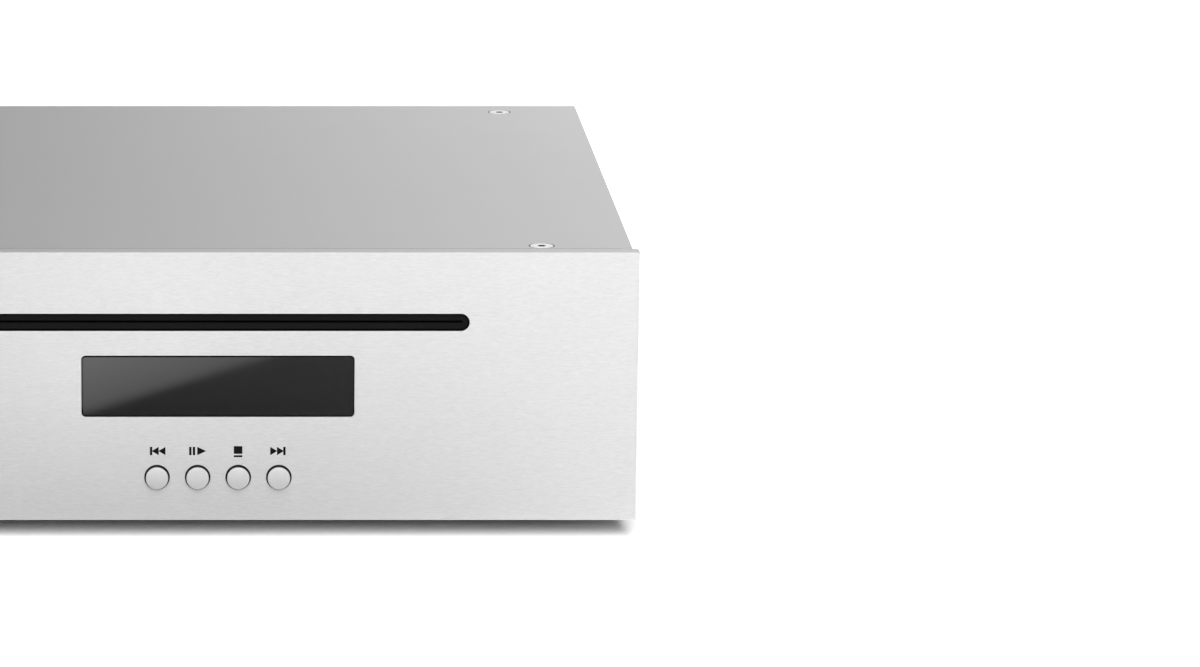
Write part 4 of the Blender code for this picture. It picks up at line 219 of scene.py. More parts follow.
def own_axes(tree):
    """The piece's own coordinates, split in X, Y and Z."""
    return add(tree, "SeparateXYZ", {"Vector": own_place(tree)}).outputs


def noise(tree, place, scale, detail=3.0, rough=0.55, distortion=0.0):
    """Noise with scale features per metre along X, Y and Z."""
    stretched = add(tree, "Mapping", {"Vector": place, "Scale": scale}).outputs["Vector"]
    settings = {"Vector": stretched, "Scale": 1.0, "Detail": detail, "Roughness": rough}
    settings["Distortion"] = distortion
    return add(tree, "TexNoise", settings).outputs["Fac"]


def spread(tree, value, low, high, start=0.3, end=0.7):
    """Stretch a value from start..end onto low..high."""
    settings = {"Value": value, "From Min": start, "From Max": end, "To Min": low, "To Max": high}
    return add(tree, "MapRange", settings).outputs["Result"]


def blend_colours(tree, factor, first, second):
    """Mix two colours by a factor."""
    mixed = add(tree, "Mix", {"Factor": factor}, data_type="RGBA")
    for index, value in ((6, first), (7, second)):
        if isinstance(value, bpy.types.NodeSocket):
            tree.links.new(value, mixed.inputs[index])
        else:
            mixed.inputs[index].default_value = (*value, 1.0)
    return mixed.outputs[2]


def grained(
    name,
    colour,
    roughness,
    metallic=0.0,
    fine=(2500, 2500, 2500),
    tone=0.06,
    broad=45,
    wear=0.06,
    relief=0.00001,
    waves=0.0,
    **sockets,
):
    """A material with a fine grain, an uneven gloss and a slight bump."""
    material = bpy.data.materials.new(name)
    material.use_nodes = True
    tree = material.node_tree
    shader = tree.nodes["Principled BSDF"]
    place = own_place(tree)
    grain = noise(tree, place, fine, distortion=waves)
    patches = noise(tree, place, (broad, broad, broad), detail=2.0)
    dark = tuple(channel * (1 - tone) for channel in colour)
    light = tuple(min(1.0, channel * (1 + tone)) for channel in colour)
    base = blend_colours(tree, spread(tree, grain, 0.0, 1.0), dark, light)
    tree.links.new(base, shader.inputs["Base Color"])
    gloss = spread(tree, patches, roughness - wear, roughness + wear)
    tree.links.new(gloss, shader.inputs["Roughness"])
    relief_map = {"Height": grain, "Strength": BUMP_STRENGTH, "Distance": relief}
    bump = add(tree, "Bump", relief_map)
    tree.links.new(bump.outputs["Normal"], shader.inputs["Normal"])
    shader.inputs["Metallic"].default_value = metallic
    for label, value in sockets.items():
        shader.inputs[label.replace("_", " ")].default_value = value
    return material


# %% [markdown]
# ## Special finishes
#
# Four finishes need more than grain. Zinc plated sheet shows a faint patchwork of crystals. A
# circuit board shows copper lines and tinned pads through its lacquer. A flat cable shows its
# row of conductors, and a display its grid of dots. All are patterns in real metres.

# %% Pattern helpers


def tint(material, factor, colour, roughness=None, metallic=None):
    """Lay a second colour over a material where the factor is 1."""
    tree = material.node_tree
    shader = tree.nodes["Principled BSDF"]
    under = shader.inputs["Base Color"].links[0].from_socket
    tree.links.new(blend_colours(tree, factor, under, colour), shader.inputs["Base Color"])
    if roughness is not None:
        under = shader.inputs["Roughness"].links[0].from_socket
        mixed = add(tree, "Mix", {"Factor": factor, "A": under, "B": roughness})
        tree.links.new(mixed.outputs["Result"], shader.inputs["Roughness"])
    if metallic is not None:
        under = shader.inputs["Metallic"].default_value
        mixed = spread(tree, factor, under, metallic, start=0.0, end=1.0)
        tree.links.new(mixed, shader.inputs["Metallic"])


def calculate(tree, operation, *values):
    """One step of arithmetic."""
    return add(tree, "Math", dict(enumerate(values)), operation=operation).outputs[0]


def product(tree, first, *others):
    """All the values multiplied."""
    for other in others:
        first = calculate(tree, "MULTIPLY", first, other)
    return first


def between(tree, value, low, high):
    """1 where the value lies between low and high, 0 elsewhere."""
    over = calculate(tree, "GREATER_THAN", value, low)
    return product(tree, over, calculate(tree, "LESS_THAN", value, high))


def line_grid(tree, value, pitch, thick):
    """1 on lines that repeat at the pitch, 0 between them."""
    share = calculate(tree, "FRACT", calculate(tree, "DIVIDE", value, pitch))
    return calculate(tree, "LESS_THAN", share, thick / pitch)


# %% Zinc crystals
CRYSTALS_PER_METRE = 190.0
zinc = grained(
    "zinc_plate", (0.60, 0.61, 0.62), 0.38, metallic=0.9, fine=(260,) * 3, tone=0.06, wear=0.08
)
tree = zinc.node_tree
settings = {"Vector": own_place(tree), "Scale": CRYSTALS_PER_METRE, "Randomness": 1.0}
crystals = add(tree, "TexVoronoi", settings).outputs["Color"]
cell = add(tree, "SeparateColor", {"Color": crystals}).outputs["Red"]
share = spread(tree, cell, 0.0, 0.35, start=0.0, end=1.0)
tint(zinc, share, (0.47, 0.48, 0.50), roughness=0.30)
print("zinc crystals are about", round(1000 / CRYSTALS_PER_METRE), "mm wide")

# %% Copper lines and tinned pads
TRACK_LENGTH = 0.0115
TRACK_PITCH = 0.0019
TRACK_GAP = 0.00022
PADS_PER_METRE = 260.0
PAD_SHARE = 0.14
board_look = grained("solder_resist", (0.020, 0.115, 0.050), 0.36, tone=0.15)
tree = board_look.node_tree
axes = own_axes(tree)
over = calculate(tree, "ADD", axes["Y"], axes["Z"])
flat = add(tree, "CombineXYZ", {"X": axes["X"], "Y": over}).outputs["Vector"]
bricks = {"Vector": flat, "Scale": 1.0, "Mortar Size": TRACK_GAP}
bricks |= {"Brick Width": TRACK_LENGTH, "Row Height": TRACK_PITCH}
copper = add(tree, "TexBrick", bricks, offset=0.37, squash=0.6, squash_frequency=3).outputs["Fac"]
tint(board_look, copper, (0.045, 0.200, 0.085), roughness=0.30)
settings = {"Vector": flat, "Scale": PADS_PER_METRE, "Randomness": 0.7}
pads = add(tree, "TexVoronoi", settings, voronoi_dimensions="2D").outputs["Distance"]
tinned = calculate(tree, "LESS_THAN", pads, PAD_SHARE)
tint(board_look, tinned, (0.72, 0.71, 0.67), roughness=0.25, metallic=1.0)

# %% Conductors and display dots
CONDUCTOR_PITCH = 0.001
CONDUCTOR_WIDTH = 0.0006
DOT_PITCH = 0.0006
DOT_GAP = 0.0001
cable = grained("flat_cable", (0.76, 0.76, 0.75), 0.42, tone=0.03)
tree = cable.node_tree
stripes = line_grid(tree, own_axes(tree)["X"], CONDUCTOR_PITCH, CONDUCTOR_WIDTH)
tint(cable, stripes, (0.52, 0.53, 0.55))
display = grained("display_glass", (0.012, 0.018, 0.022), 0.10, tone=0.1, wear=0.03)
tree = display.node_tree
axes = own_axes(tree)
columns, rows = [line_grid(tree, axes[axis], DOT_PITCH, DOT_GAP) for axis in "XZ"]
tint(display, calculate(tree, "MAXIMUM", columns, rows), (0.030, 0.040, 0.045), roughness=0.3)

# %% [markdown]
# ## The finishes
#
# The face is brushed: an abrasive belt runs along it and leaves fine level lines. The same noise
# gives this when it is stretched, with few features along X and many along Z. The cover is
# anodised with a satin etch, so its grain is even. Rubber, felt and moulded plastic are dull and
# rough, while acrylic and glass are smooth and only carry the faintest unevenness.

# %% Finishes
COVER_TONE = (0.61, 0.61, 0.61)
FACE_TONE = (0.83, 0.83, 0.83)
LOOKS = {
    "brushed_aluminium": grained(
        "brushed_face",
        FACE_TONE,
        0.42,
        metallic=0.55,
        fine=(450, 3000, 3000),
        tone=0.055,
        wear=0.015,
        relief=0.000003,
        waves=1.2,
    ),
    "cover_grey": grained(
        "satin_cover", COVER_TONE, 0.44, metallic=0.8, fine=(4000,) * 3, tone=0.02, wear=0.012
    ),
    "zinc_sheet": zinc,
    "screw_steel": grained(
        "nickel_screw", (0.95, 0.95, 0.94), 0.40, metallic=0.5, fine=(3000,) * 3, tone=0.03
    ),
    "button_aluminium": grained(
        "turned_button", FACE_TONE, 0.40, metallic=0.55, fine=(4000,) * 3, tone=0.03
    ),
    "black_felt": grained(
        "black_felt",
        (0.011, 0.011, 0.011),
        0.95,
        fine=(9000,) * 3,
        tone=0.5,
        relief=0.0001,
        Specular_IOR_Level=0.15,
    ),
    "black_rubber": grained("foot_rubber", (0.018, 0.018, 0.018), 0.80, tone=0.25, relief=0.00003),
    "black_plastic": grained("moulded_black", (0.022, 0.022, 0.023), 0.48, tone=0.2, relief=0.00002),
    "white_plastic": grained("white_acetal", (0.76, 0.75, 0.71), 0.42, tone=0.03),
    "window_acrylic": grained(
        "smoked_acrylic",
        (0.0020, 0.0020, 0.0021),
        0.05,
        tone=0.1,
        wear=0.01,
        relief=0.0000002,
        Specular_IOR_Level=0.42,
    ),
    "display_glass": display,
    "clear_acrylic": grained(
        "light_pipe", (0.80, 0.82, 0.85), 0.12, tone=0.03, Transmission_Weight=0.7
    ),
    "circuit_board": board_look,
    "motor_steel": grained(
        "motor_can", (0.55, 0.55, 0.56), 0.34, metallic=1.0, fine=(200, 200, 3000), tone=0.08
    ),
    "spring_steel": grained("spring_wire", (0.50, 0.50, 0.51), 0.30, metallic=1.0, tone=0.08),
    "polished_rod": grained("polished_rod", (0.76, 0.76, 0.77), 0.12, metallic=1.0, wear=0.03),
    "lens_glass": grained("coated_lens", (0.30, 0.38, 0.60), 0.05, wear=0.02, Coat_Weight=1.0),
    "cable_white": cable,
}

for node in frame["nodes"].values():
    for holder in node.material_slots:
        holder.material = LOOKS[holder.material.name.split(".")[0]]
print(len(LOOKS), "finishes on", len(frame["nodes"]), "CAD nodes")

# %% [markdown]
# ## The last steps of every piece
#
# Every piece ends in the same way. It takes its name and its finish, its curved faces are shaded
# smooth, and it rides on the CAD body that moves it, so one function does all of that. A piece
# that stands for a CAD node hides it. The node's body is looked up in the part's record.

# %% Finish a piece
SHARP_ANGLE = 35
groups = frame["record"]["behaviour"]["bodies"]
bodies = {node: body for body, nodes in groups.items() for node in nodes}


def middle_of(node):
    """The middle of a CAD node's box."""
    low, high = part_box(node)
    return (low + high) / 2


def finish(shape, name, slot, *replaced, look=None):
    """Name the piece, paint it, shade it and let it ride on the body of what it replaces.

    Large faces keep their own normals, so that a rounded edge doesn't bend the light on them.
    A piece that replaces nothing rides on the case.
    """
    body = bodies[replaced[0]] if replaced else "case"
    shape.name = name
    shape.data.materials.clear()
    shape.data.materials.append(look or LOOKS[slot])
    shape.data.shade_smooth()
    shape.data.set_sharp_from_angle(angle=math.radians(SHARP_ANGLE))
    weigh = shape.modifiers.new("weigh", "WEIGHTED_NORMAL")
    weigh.keep_sharp = True
    bake(shape)
    shape.data.name = name
    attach(shape, body)
    if replaced:
        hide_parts(*replaced)
    print(name, "on", body, "has", len(shape.data.polygons), "faces")


# %% [markdown]
# ## The front panel
#
# The real face is a 4.3 mm aluminium plate. A mill cuts the disc slot, the window opening and the
# button holes, and a file or a small chamfer tool breaks every edge. The same order works here.
# The plate's face lies a hair behind the CAD face, so that the printed symbols can stand on it
# as thin films of ink and still stay inside the CAD model's outline.

# %% Places on the face
INK = 0.00002
SLOT_HALF_WIDTH = 0.0616
SLOT_HALF_HEIGHT = 0.00215
WINDOW_HALF_WIDTH = 0.0335
WINDOW_HALF_HEIGHT = 0.0077
WINDOW_CORNER = 0.0010
CONTROLS = ("previous", "play_pause", "stop_eject", "next", "standby")
BUTTONS = {f"button_{body}": body for body in CONTROLS}
panel_low, panel_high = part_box("front_panel")
felt_low, felt_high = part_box("slot_felt")
glass_low, glass_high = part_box("display_window")
face_y = panel_low.y
plate_y = face_y + INK
slot_z = (felt_low.z + felt_high.z) / 2
window_z = (glass_low.z + glass_high.z) / 2
through = (panel_low.y - OVERRUN, panel_high.y + OVERRUN)
print("slot centre", round(slot_z, 5), "window centre", round(window_z, 5))

# %% [markdown]
# ## Painted shade and a painted highlight
#
# The walls of the slot, the window opening and the button holes face each other and the dark
# inside, so almost no light comes back from them. That shade is painted: a dark tint starts a
# little behind the face, without a second material. It stays away from the plate's own rim. The
# plate's upper edge is painted in the cover's tone as shade, its lower edge carries a painted
# highlight where the table's light meets the chamfer, and the side of each button has painted
# shade that darkens toward its hole.

# %% Paint shade on the walls and rims, and a highlight on the lower edge
PAINTED_SHADE_DEPTH = 0.0003
TOP_SKIN = 0.0001
PANEL_RIM = 0.0020
PANEL_CHAMFER = 0.0002
CAP_RIM = 0.00025
look = LOOKS["brushed_aluminium"]
tree = look.node_tree
axes = own_axes(tree)
# Painted shade: the hollow walls behind the face are tinted dark for the shade in them.
painted_shade_band = calculate(tree, "GREATER_THAN", axes["Y"], face_y + PAINTED_SHADE_DEPTH)
across = between(tree, axes["X"], panel_low.x + PANEL_RIM, panel_high.x - PANEL_RIM)
upright = between(tree, axes["Z"], panel_low.z + PANEL_RIM, panel_high.z - PANEL_RIM)
tint(look, product(tree, painted_shade_band, across, upright), (0.05, 0.05, 0.05), metallic=1.0)
# Painted shade: the plate's top edge takes the cover's darker tone.
painted_top_shade = calculate(tree, "GREATER_THAN", axes["Z"], panel_high.z - TOP_SKIN)
tint(look, painted_top_shade, COVER_TONE)
# Painted highlight: the plate's lower edge is tinted bright.
painted_edge_highlight = calculate(tree, "LESS_THAN", axes["Z"], panel_low.z + PANEL_CHAMFER)
tint(look, painted_edge_highlight, (0.97, 0.97, 0.97))

look = LOOKS["button_aluminium"]
tree = look.node_tree
cap_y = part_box("button_next")[0].y
# Painted shade: the side of each cap darkens toward its hole.
side = spread(tree, own_axes(tree)["Y"], 0.0, 1.0, start=cap_y + CAP_RIM, end=face_y)
tint(look, side, (0.04, 0.04, 0.04), metallic=1.0)
print("walls are dark from", PAINTED_SHADE_DEPTH * 1000, "mm behind the face")

# %% Cut the plate
HOLE_RADIUS = 0.00315
PIPE_HOLE_RADIUS = 0.0013
HOLE_EDGE = 0.00012
GLASS_LIP = 0.0020
GLASS_GAP = 0.0003
NEARLY_ROUND = 0.999
END_SEGMENTS = 16
plate = block((panel_low.x, plate_y, panel_low.z), panel_high)
slot_tool = block(
    (-SLOT_HALF_WIDTH, through[0], slot_z - SLOT_HALF_HEIGHT),
    (SLOT_HALF_WIDTH, through[1], slot_z + SLOT_HALF_HEIGHT),
    rounded=SLOT_HALF_HEIGHT * NEARLY_ROUND,
    segments=END_SEGMENTS,
)
window_tool = block(
    (-WINDOW_HALF_WIDTH, through[0], window_z - WINDOW_HALF_HEIGHT),
    (WINDOW_HALF_WIDTH, through[1], window_z + WINDOW_HALF_HEIGHT),
    rounded=WINDOW_CORNER,
)
pocket_tool = block(
    (glass_low.x - GLASS_GAP, panel_high.y - GLASS_LIP, glass_low.z - GLASS_GAP),
    (glass_high.x + GLASS_GAP, through[1], glass_high.z + GLASS_GAP),
)
holes = [cylinder("Y", middle_of(node), HOLE_RADIUS, *through) for node in BUTTONS]
pipe = middle_of("standby_light_pipe")
holes.append(cylinder("Y", pipe, PIPE_HOLE_RADIUS, *through, FINE_STEPS))
cut(plate, slot_tool, window_tool, pocket_tool)
soften(plate, PANEL_CHAMFER)
cut(plate, *holes)
soften(plate, HOLE_EDGE)
finish(plate, "face_plate", "brushed_aluminium", "front_panel")

# %% [markdown]
# ## The buttons
#
# Each button is a small turned cap with a flange that keeps it from falling out of its hole, and
# a stem that reaches the switch behind. A lathe makes it in one go, so a spun profile does too.
# The rim is rounded over 0.25 mm, which is what gives each cap its bright edge.

# %% Turn the buttons
CAP_RADIUS = 0.00275
FLANGE_FRONT = 0.0046
FLANGE_THICK = 0.0010
STEM_RADIUS = 0.0015
RIM_STEPS = 4
flange_y = face_y + FLANGE_FRONT
for node, body in BUTTONS.items():
    low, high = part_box(node)
    flange_radius = (high.x - low.x) / 2
    profile = [(0.0, low.y)]
    for step in range(RIM_STEPS + 1):
        angle = math.pi / 2 * step / RIM_STEPS
        radius = CAP_RADIUS - CAP_RIM + CAP_RIM * math.sin(angle)
        profile.append((radius, low.y + CAP_RIM - CAP_RIM * math.cos(angle)))
    profile += [
        (CAP_RADIUS, flange_y),
        (flange_radius, flange_y),
        (flange_radius, flange_y + FLANGE_THICK),
        (STEM_RADIUS, flange_y + FLANGE_THICK),
        (STEM_RADIUS, high.y),
        (0.0, high.y),
    ]
    cap = lathe("Y", (low + high) / 2, profile, HOLE_STEPS)
    finish(cap, f"{body}_cap", "button_aluminium", node)

# %% [markdown]
# ## The printed symbols
#
# The transport symbols are screen printed: a thin, even film of black ink. Each one is put
# together from bars and triangles with the film's thickness, which stand a hair proud of the
# plate. As shapes they keep sharp outlines at any distance, which a painted pattern may not.

# %% Print the symbols
ICON_Z = 0.0221
ICON_HALF = 0.00105
BAR_HALF = 0.00029
ARROW = 0.00172
PLAY_ARROW = 0.0022
EJECT_X = 0.00496
black_ink = grained(
    "black_ink", (0.006, 0.006, 0.006), 0.6, fine=(6000,) * 3, tone=0.3, Specular_IOR_Level=0.12
)


def bar(x, half_width=BAR_HALF, z=ICON_Z, half_height=ICON_HALF):
    """A bar of ink."""
    low = (x - half_width, face_y, z - half_height)
    return block(low, (x + half_width, plate_y + INK, z + half_height))


def triangle(x, width, direction):
    """A triangle of ink that points right or left. Its flat side starts at x."""
    bm = bmesh.new()
    bmesh.ops.create_circle(bm, cap_ends=True, radius=1, segments=3)
    turn = Matrix.Rotation(math.radians(-90 * direction), 3, "Z")
    for vert in bm.verts:
        vert.co = turn @ vert.co
    xs = [vert.co.x for vert in bm.verts]
    ys = [vert.co.y for vert in bm.verts]
    start = x if direction > 0 else x - width
    for vert in bm.verts:
        across = (vert.co.x - min(xs)) / (max(xs) - min(xs))
        up = (vert.co.y - min(ys)) / (max(ys) - min(ys)) * 2 - 1
        vert.co = Vector((start + across * width, face_y, ICON_Z + up * ICON_HALF))
    drawn = bmesh.ops.extrude_face_region(bm, geom=bm.faces[:])
    verts = [item for item in drawn["geom"] if isinstance(item, bmesh.types.BMVert)]
    bmesh.ops.translate(bm, verts=verts, vec=(0, 2 * INK, 0))
    return shape_from(bm)


symbols = {
    "symbol_previous": [bar(-0.01645), triangle(-0.01458, ARROW, -1), triangle(-0.01292, ARROW, -1)],
    "symbol_play_pause": [bar(-0.00679), bar(-0.00589), triangle(-0.00508, PLAY_ARROW, 1)],
    "symbol_stop_eject": [
        bar(EJECT_X, ICON_HALF, 0.02237, 0.00097),
        bar(EJECT_X, ICON_HALF, 0.02079, 0.00024),
    ],
    "symbol_next": [triangle(0.01287, ARROW, 1), triangle(0.01453, ARROW, 1), bar(0.01636)],
}
for name, parts in symbols.items():
    finish(weld(parts[0], *parts[1:]), name, "black_plastic", look=black_ink)

# %% [markdown]
# ## The top cover
#
# The cover is one sheet, bent down at both sides. A block open at the bottom, front and back has
# that shape, its two long edges bevelled to the bend, and a solidify step gives it the sheet's
# thickness inward. Four countersunk holes take the screws. Their walls get painted shade as well.

# %% Bend the cover
SHEET = 0.0015
BEND = 0.0004
cover_low, cover_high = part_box("top_cover")
bm = cube(cover_low, cover_high)
open_faces = [face for face in bm.faces if abs(face.normal.y) > 0.5 or face.normal.z < -0.5]
bmesh.ops.delete(bm, geom=open_faces, context="FACES")
ridge = []
for edge in bm.edges:
    on_top = all(abs(vert.co.z - cover_high.z) < OVERRUN / 2 for vert in edge.verts)
    if on_top and not edge.is_boundary:
        ridge.append(edge)
round_edges(bm, ridge, BEND)
cover = shape_from(bm)
sheet = cover.modifiers.new("sheet", "SOLIDIFY")
sheet.thickness = SHEET
sheet.offset = -1
sheet.use_even_offset = True
bake(cover)
print("cover sheet", SHEET * 1000, "mm thick")

# %% Sink the screw holes
SCREWS = ["front_left", "front_right", "rear_left", "rear_right"]
SINK_RADIUS = 0.00325
BORE_RADIUS = 0.0018
COVER_SKIN = 0.00005
COVER_EDGE = 0.0001
look = LOOKS["cover_grey"]
tree = look.node_tree
axes = own_axes(tree)
# Painted shade: the walls of the screw holes are tinted dark.
painted_shade_band = between(tree, axes["Z"], cover_high.z - SHEET * 0.95, cover_high.z - COVER_SKIN)
across = between(tree, axes["X"], cover_low.x + 2 * SHEET, cover_high.x - 2 * SHEET)
tint(look, product(tree, painted_shade_band, across), (0.015, 0.015, 0.015), metallic=1.0)
sinks = []
for place in SCREWS:
    profile = [
        (BORE_RADIUS, cover_high.z - SHEET - OVERRUN),
        (BORE_RADIUS, cover_high.z - SINK_RADIUS + BORE_RADIUS),
        (SINK_RADIUS, cover_high.z),
        (SINK_RADIUS, cover_high.z + OVERRUN),
    ]
    sinks.append(lathe("Z", middle_of(f"cover_screw_{place}"), profile, HOLE_STEPS))
cut(cover, *sinks)
soften(cover, COVER_EDGE, 2, 35)
finish(cover, "bent_cover", "cover_grey", "top_cover")

# %% [markdown]
# ## The cover screws
#
# Countersunk screws with a hexagon socket. The head is spun, the socket is pressed in with a
# six-sided tool, and the rim is broken so that it shines. The socket and the cone under the head
# lie in shadow, so the finish is tinted dark just below the head's face.

# %% Turn the screws
HEAD_RADIUS = 0.00295
SHANK_RADIUS = 0.0015
SOCKET_RADIUS = 0.0011
SOCKET_DEPTH = 0.0011
SOCKET_SIDES = 6
HEAD_RIM = 0.0001
HEAD_EDGE = 0.00006
HEAD_SKIN = 0.00005
head_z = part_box("cover_screw_front_left")[1].z
look = LOOKS["screw_steel"]
tree = look.node_tree
painted_shade_band = between(tree, own_axes(tree)["Z"], head_z - 1.2 * SOCKET_DEPTH, head_z - HEAD_SKIN)
tint(look, painted_shade_band, (0.012, 0.012, 0.012), metallic=1.0)
for place in SCREWS:
    low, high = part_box(f"cover_screw_{place}")
    centre = (low + high) / 2
    profile = [
        (SHANK_RADIUS, low.z),
        (SHANK_RADIUS, high.z - HEAD_RADIUS + SHANK_RADIUS),
        (HEAD_RADIUS, high.z - HEAD_RIM),
        (HEAD_RADIUS - HEAD_RIM, high.z),
    ]
    screw = lathe("Z", centre, profile)
    socket_ends = (high.z - SOCKET_DEPTH, high.z + OVERRUN)
    cut(screw, cylinder("Z", centre, SOCKET_RADIUS, *socket_ends, SOCKET_SIDES))
    soften(screw, HEAD_EDGE, 2)
    finish(screw, f"screw_{place}", "screw_steel", f"cover_screw_{place}")

# %% [markdown]
# ## The felt and the window
#
# Felt is cut from a sheet with a knife, so its outline is that of the slot, and it has one long
# slit for the disc. The window is a slab of smoked acrylic with polished, slightly rounded edges
# and a lip behind the plate that holds it in place.

# %% Felt strip
SLIT_HALF_WIDTH = 0.05985
SLIT_HALF_HEIGHT = 0.0003
FELT_EDGE = 0.00015
felt_end = (felt_high.z - felt_low.z) / 2 * NEARLY_ROUND
felt = block(felt_low, felt_high, rounded=felt_end, segments=END_SEGMENTS)
slit = block(
    (-SLIT_HALF_WIDTH, felt_low.y - OVERRUN, slot_z - SLIT_HALF_HEIGHT),
    (SLIT_HALF_WIDTH, felt_high.y + OVERRUN, slot_z + SLIT_HALF_HEIGHT),
)
soften(cut(felt, slit), FELT_EDGE)
finish(felt, "felt_strip", "black_felt", "slot_felt")

# %% Smoked window
LIP_THICK = 0.0018
GLASS_EDGE = 0.0001
glass_half = WINDOW_HALF_WIDTH - GLASS_GAP
glass_half_height = WINDOW_HALF_HEIGHT - GLASS_GAP
window = block(
    (-glass_half, glass_low.y, window_z - glass_half_height),
    (glass_half, glass_high.y, window_z + glass_half_height),
    rounded=WINDOW_CORNER - GLASS_GAP,
)
lip = block((glass_low.x, glass_high.y - LIP_THICK, glass_low.z), glass_high)
soften(weld(window, lip), GLASS_EDGE)
finish(window, "smoked_window", "window_acrylic", "display_window")

# %% [markdown]
# ## The light pipe and the feet
#
# The standby light is a clear acrylic rod from the board to the face, its end slightly domed.
# The feet are moulded rubber: a disc with soft edges and a barbed stem pushed through the floor.

# %% Light pipe
DOME = 0.0002
low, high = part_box("standby_light_pipe")
pipe_radius = (high.x - low.x) / 2
profile = [(0.0, low.y), (pipe_radius * 0.6, low.y + DOME * 0.3), (pipe_radius, low.y + DOME)]
profile += [(pipe_radius, high.y), (0.0, high.y)]
rod = lathe("Y", (low + high) / 2, profile, BORE_STEPS)
finish(rod, "light_rod", "clear_acrylic", "standby_light_pipe")

# %% Rubber feet
FOOT_TOP = 0.0049
FOOT_EDGE = 0.0004
STEM = 0.0022
BARB = 0.0003
for place in SCREWS:
    low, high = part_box(f"foot_{place}")
    radius = (high.x - low.x) / 2
    profile = [
        (0.0, low.z + FOOT_EDGE),
        (radius * 0.5, low.z + FOOT_EDGE),
        (radius * 0.56, low.z),
        (radius - 0.0008, low.z),
        (radius - 0.0002, low.z + 0.0003),
        (radius, low.z + 0.0010),
        (radius, FOOT_TOP - FOOT_EDGE),
        (radius - FOOT_EDGE, FOOT_TOP),
        (STEM, FOOT_TOP),
        (STEM, high.z - BARB),
        (STEM - BARB, high.z),
        (0.0, high.z),
    ]
    foot = lathe("Z", (low + high) / 2, profile, HOLE_STEPS)
    finish(foot, f"rubber_foot_{place}", "black_rubber", f"foot_{place}")

# %% [markdown]
# ## Pressed and moulded pieces
#
# The chassis, the panels and the loader are pressed from sheet, and the gears and sockets are
# moulded. The CAD model has their exact shapes with sharp edges. A copy with its corners merged
# and its flat faces made whole can have every edge rounded, as a deburred sheet or a moulding has.

# %% Refine the CAD pieces
REFINED = {
    "roller_gear": ("white_plastic", 0.00006),
    "idler_gear": ("white_plastic", 0.00006),
    "motor_pinion": ("white_plastic", 0.00006),
    "sled_gear": ("white_plastic", 0.00006),
    "sled_pinion": ("white_plastic", 0.00006),
    "roller_shaft": ("polished_rod", 0.00015),
    "guide_rod_left": ("polished_rod", 0.00015),
    "guide_rod_right": ("polished_rod", 0.00015),
    "clamp_puck": ("black_plastic", 0.00020),
    "clamp_spring": ("spring_steel", 0.00002),
    "front_flat_cable": ("cable_white", 0.00004),
    "bottom_chassis": ("zinc_sheet", 0.00012),
    "rear_panel": ("cover_grey", 0.00012),
    "loader_base": ("zinc_sheet", 0.00010),
    "loader_top_plate": ("zinc_sheet", 0.00010),
    "disc_guide_rail": ("black_plastic", 0.00020),
    "roller_bracket": ("zinc_sheet", 0.00010),
    "cam_slide": ("white_plastic", 0.00015),
    "clamp_arm": ("zinc_sheet", 0.00010),
    "traverse_chassis": ("zinc_sheet", 0.00010),
    "optical_pickup": ("black_plastic", 0.00012),
    "optical_jack": ("black_plastic", 0.00015),
    "optical_jack_shutter": ("black_plastic", 0.00008),
    "display_module": ("display_glass", 0.00015),
}
REFINED |= {f"switch_{body}": ("black_plastic", 0.00010) for body in BUTTONS.values()}


def whole(node):
    """A copy of a CAD node with merged corners and whole faces."""
    bm = bmesh.new()
    bm.from_mesh(frame["nodes"][node].data)
    bmesh.ops.transform(bm, matrix=frame["nodes"][node].matrix_world, verts=bm.verts)
    bmesh.ops.remove_doubles(bm, verts=bm.verts, dist=0.000002)
    bmesh.ops.dissolve_limit(bm, angle_limit=math.radians(1), verts=bm.verts, edges=bm.edges)
    return shape_from(bm)


for node, (slot, width) in REFINED.items():
    finish(soften(whole(node), width, 2), f"{node}_deburred", slot, node)

# %% [markdown]
# ## Turned pieces of the drive
#
# Motor cans are drawn from sheet, so their rims are rounded, and a bore at one end takes the
# shaft. The turntable, the rubber roller and the dampers are turned or moulded round, and a lathe
# gives them more sides and softer rims than the CAD model needs.

# %% Motor cans
CAN_EDGE = 0.0006
CAN_BORE_EDGE = 0.00008


def motor_can(name, axis, node, bore, depth, bore_at_end):
    """A motor can with rounded rims and the bore of its shaft at one end."""
    low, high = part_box(node)
    centre = (low + high) / 2
    along = AXES[axis]
    start, end = low.dot(along), high.dot(along)
    across = AXES["Y"] if axis == "X" else AXES["X"]
    radius = (high - low).dot(across) / 2
    can = [
        (radius - CAN_EDGE, start),
        (radius - CAN_EDGE * 0.3, start + CAN_EDGE * 0.3),
        (radius, start + CAN_EDGE),
        (radius, end - CAN_EDGE),
        (radius - CAN_EDGE * 0.3, end - CAN_EDGE * 0.3),
        (radius - CAN_EDGE, end),
    ]
    shape = lathe(axis, centre, can, HOLE_STEPS)
    bore_ends = (end - depth, end + OVERRUN) if bore_at_end else (start - OVERRUN, start + depth)
    cut(shape, cylinder(axis, centre, bore, *bore_ends, BORE_STEPS))
    soften(shape, CAN_BORE_EDGE, 2)
    finish(shape, name, "motor_steel", node)


motor_can("loading_motor_can", "X", "loading_motor", 0.0013, 0.0063, False)
motor_can("spindle_motor_can", "Z", "spindle_motor", 0.0013, 0.0061, True)
motor_can("sled_motor_can", "Z", "sled_motor", 0.0011, 0.0035, False)

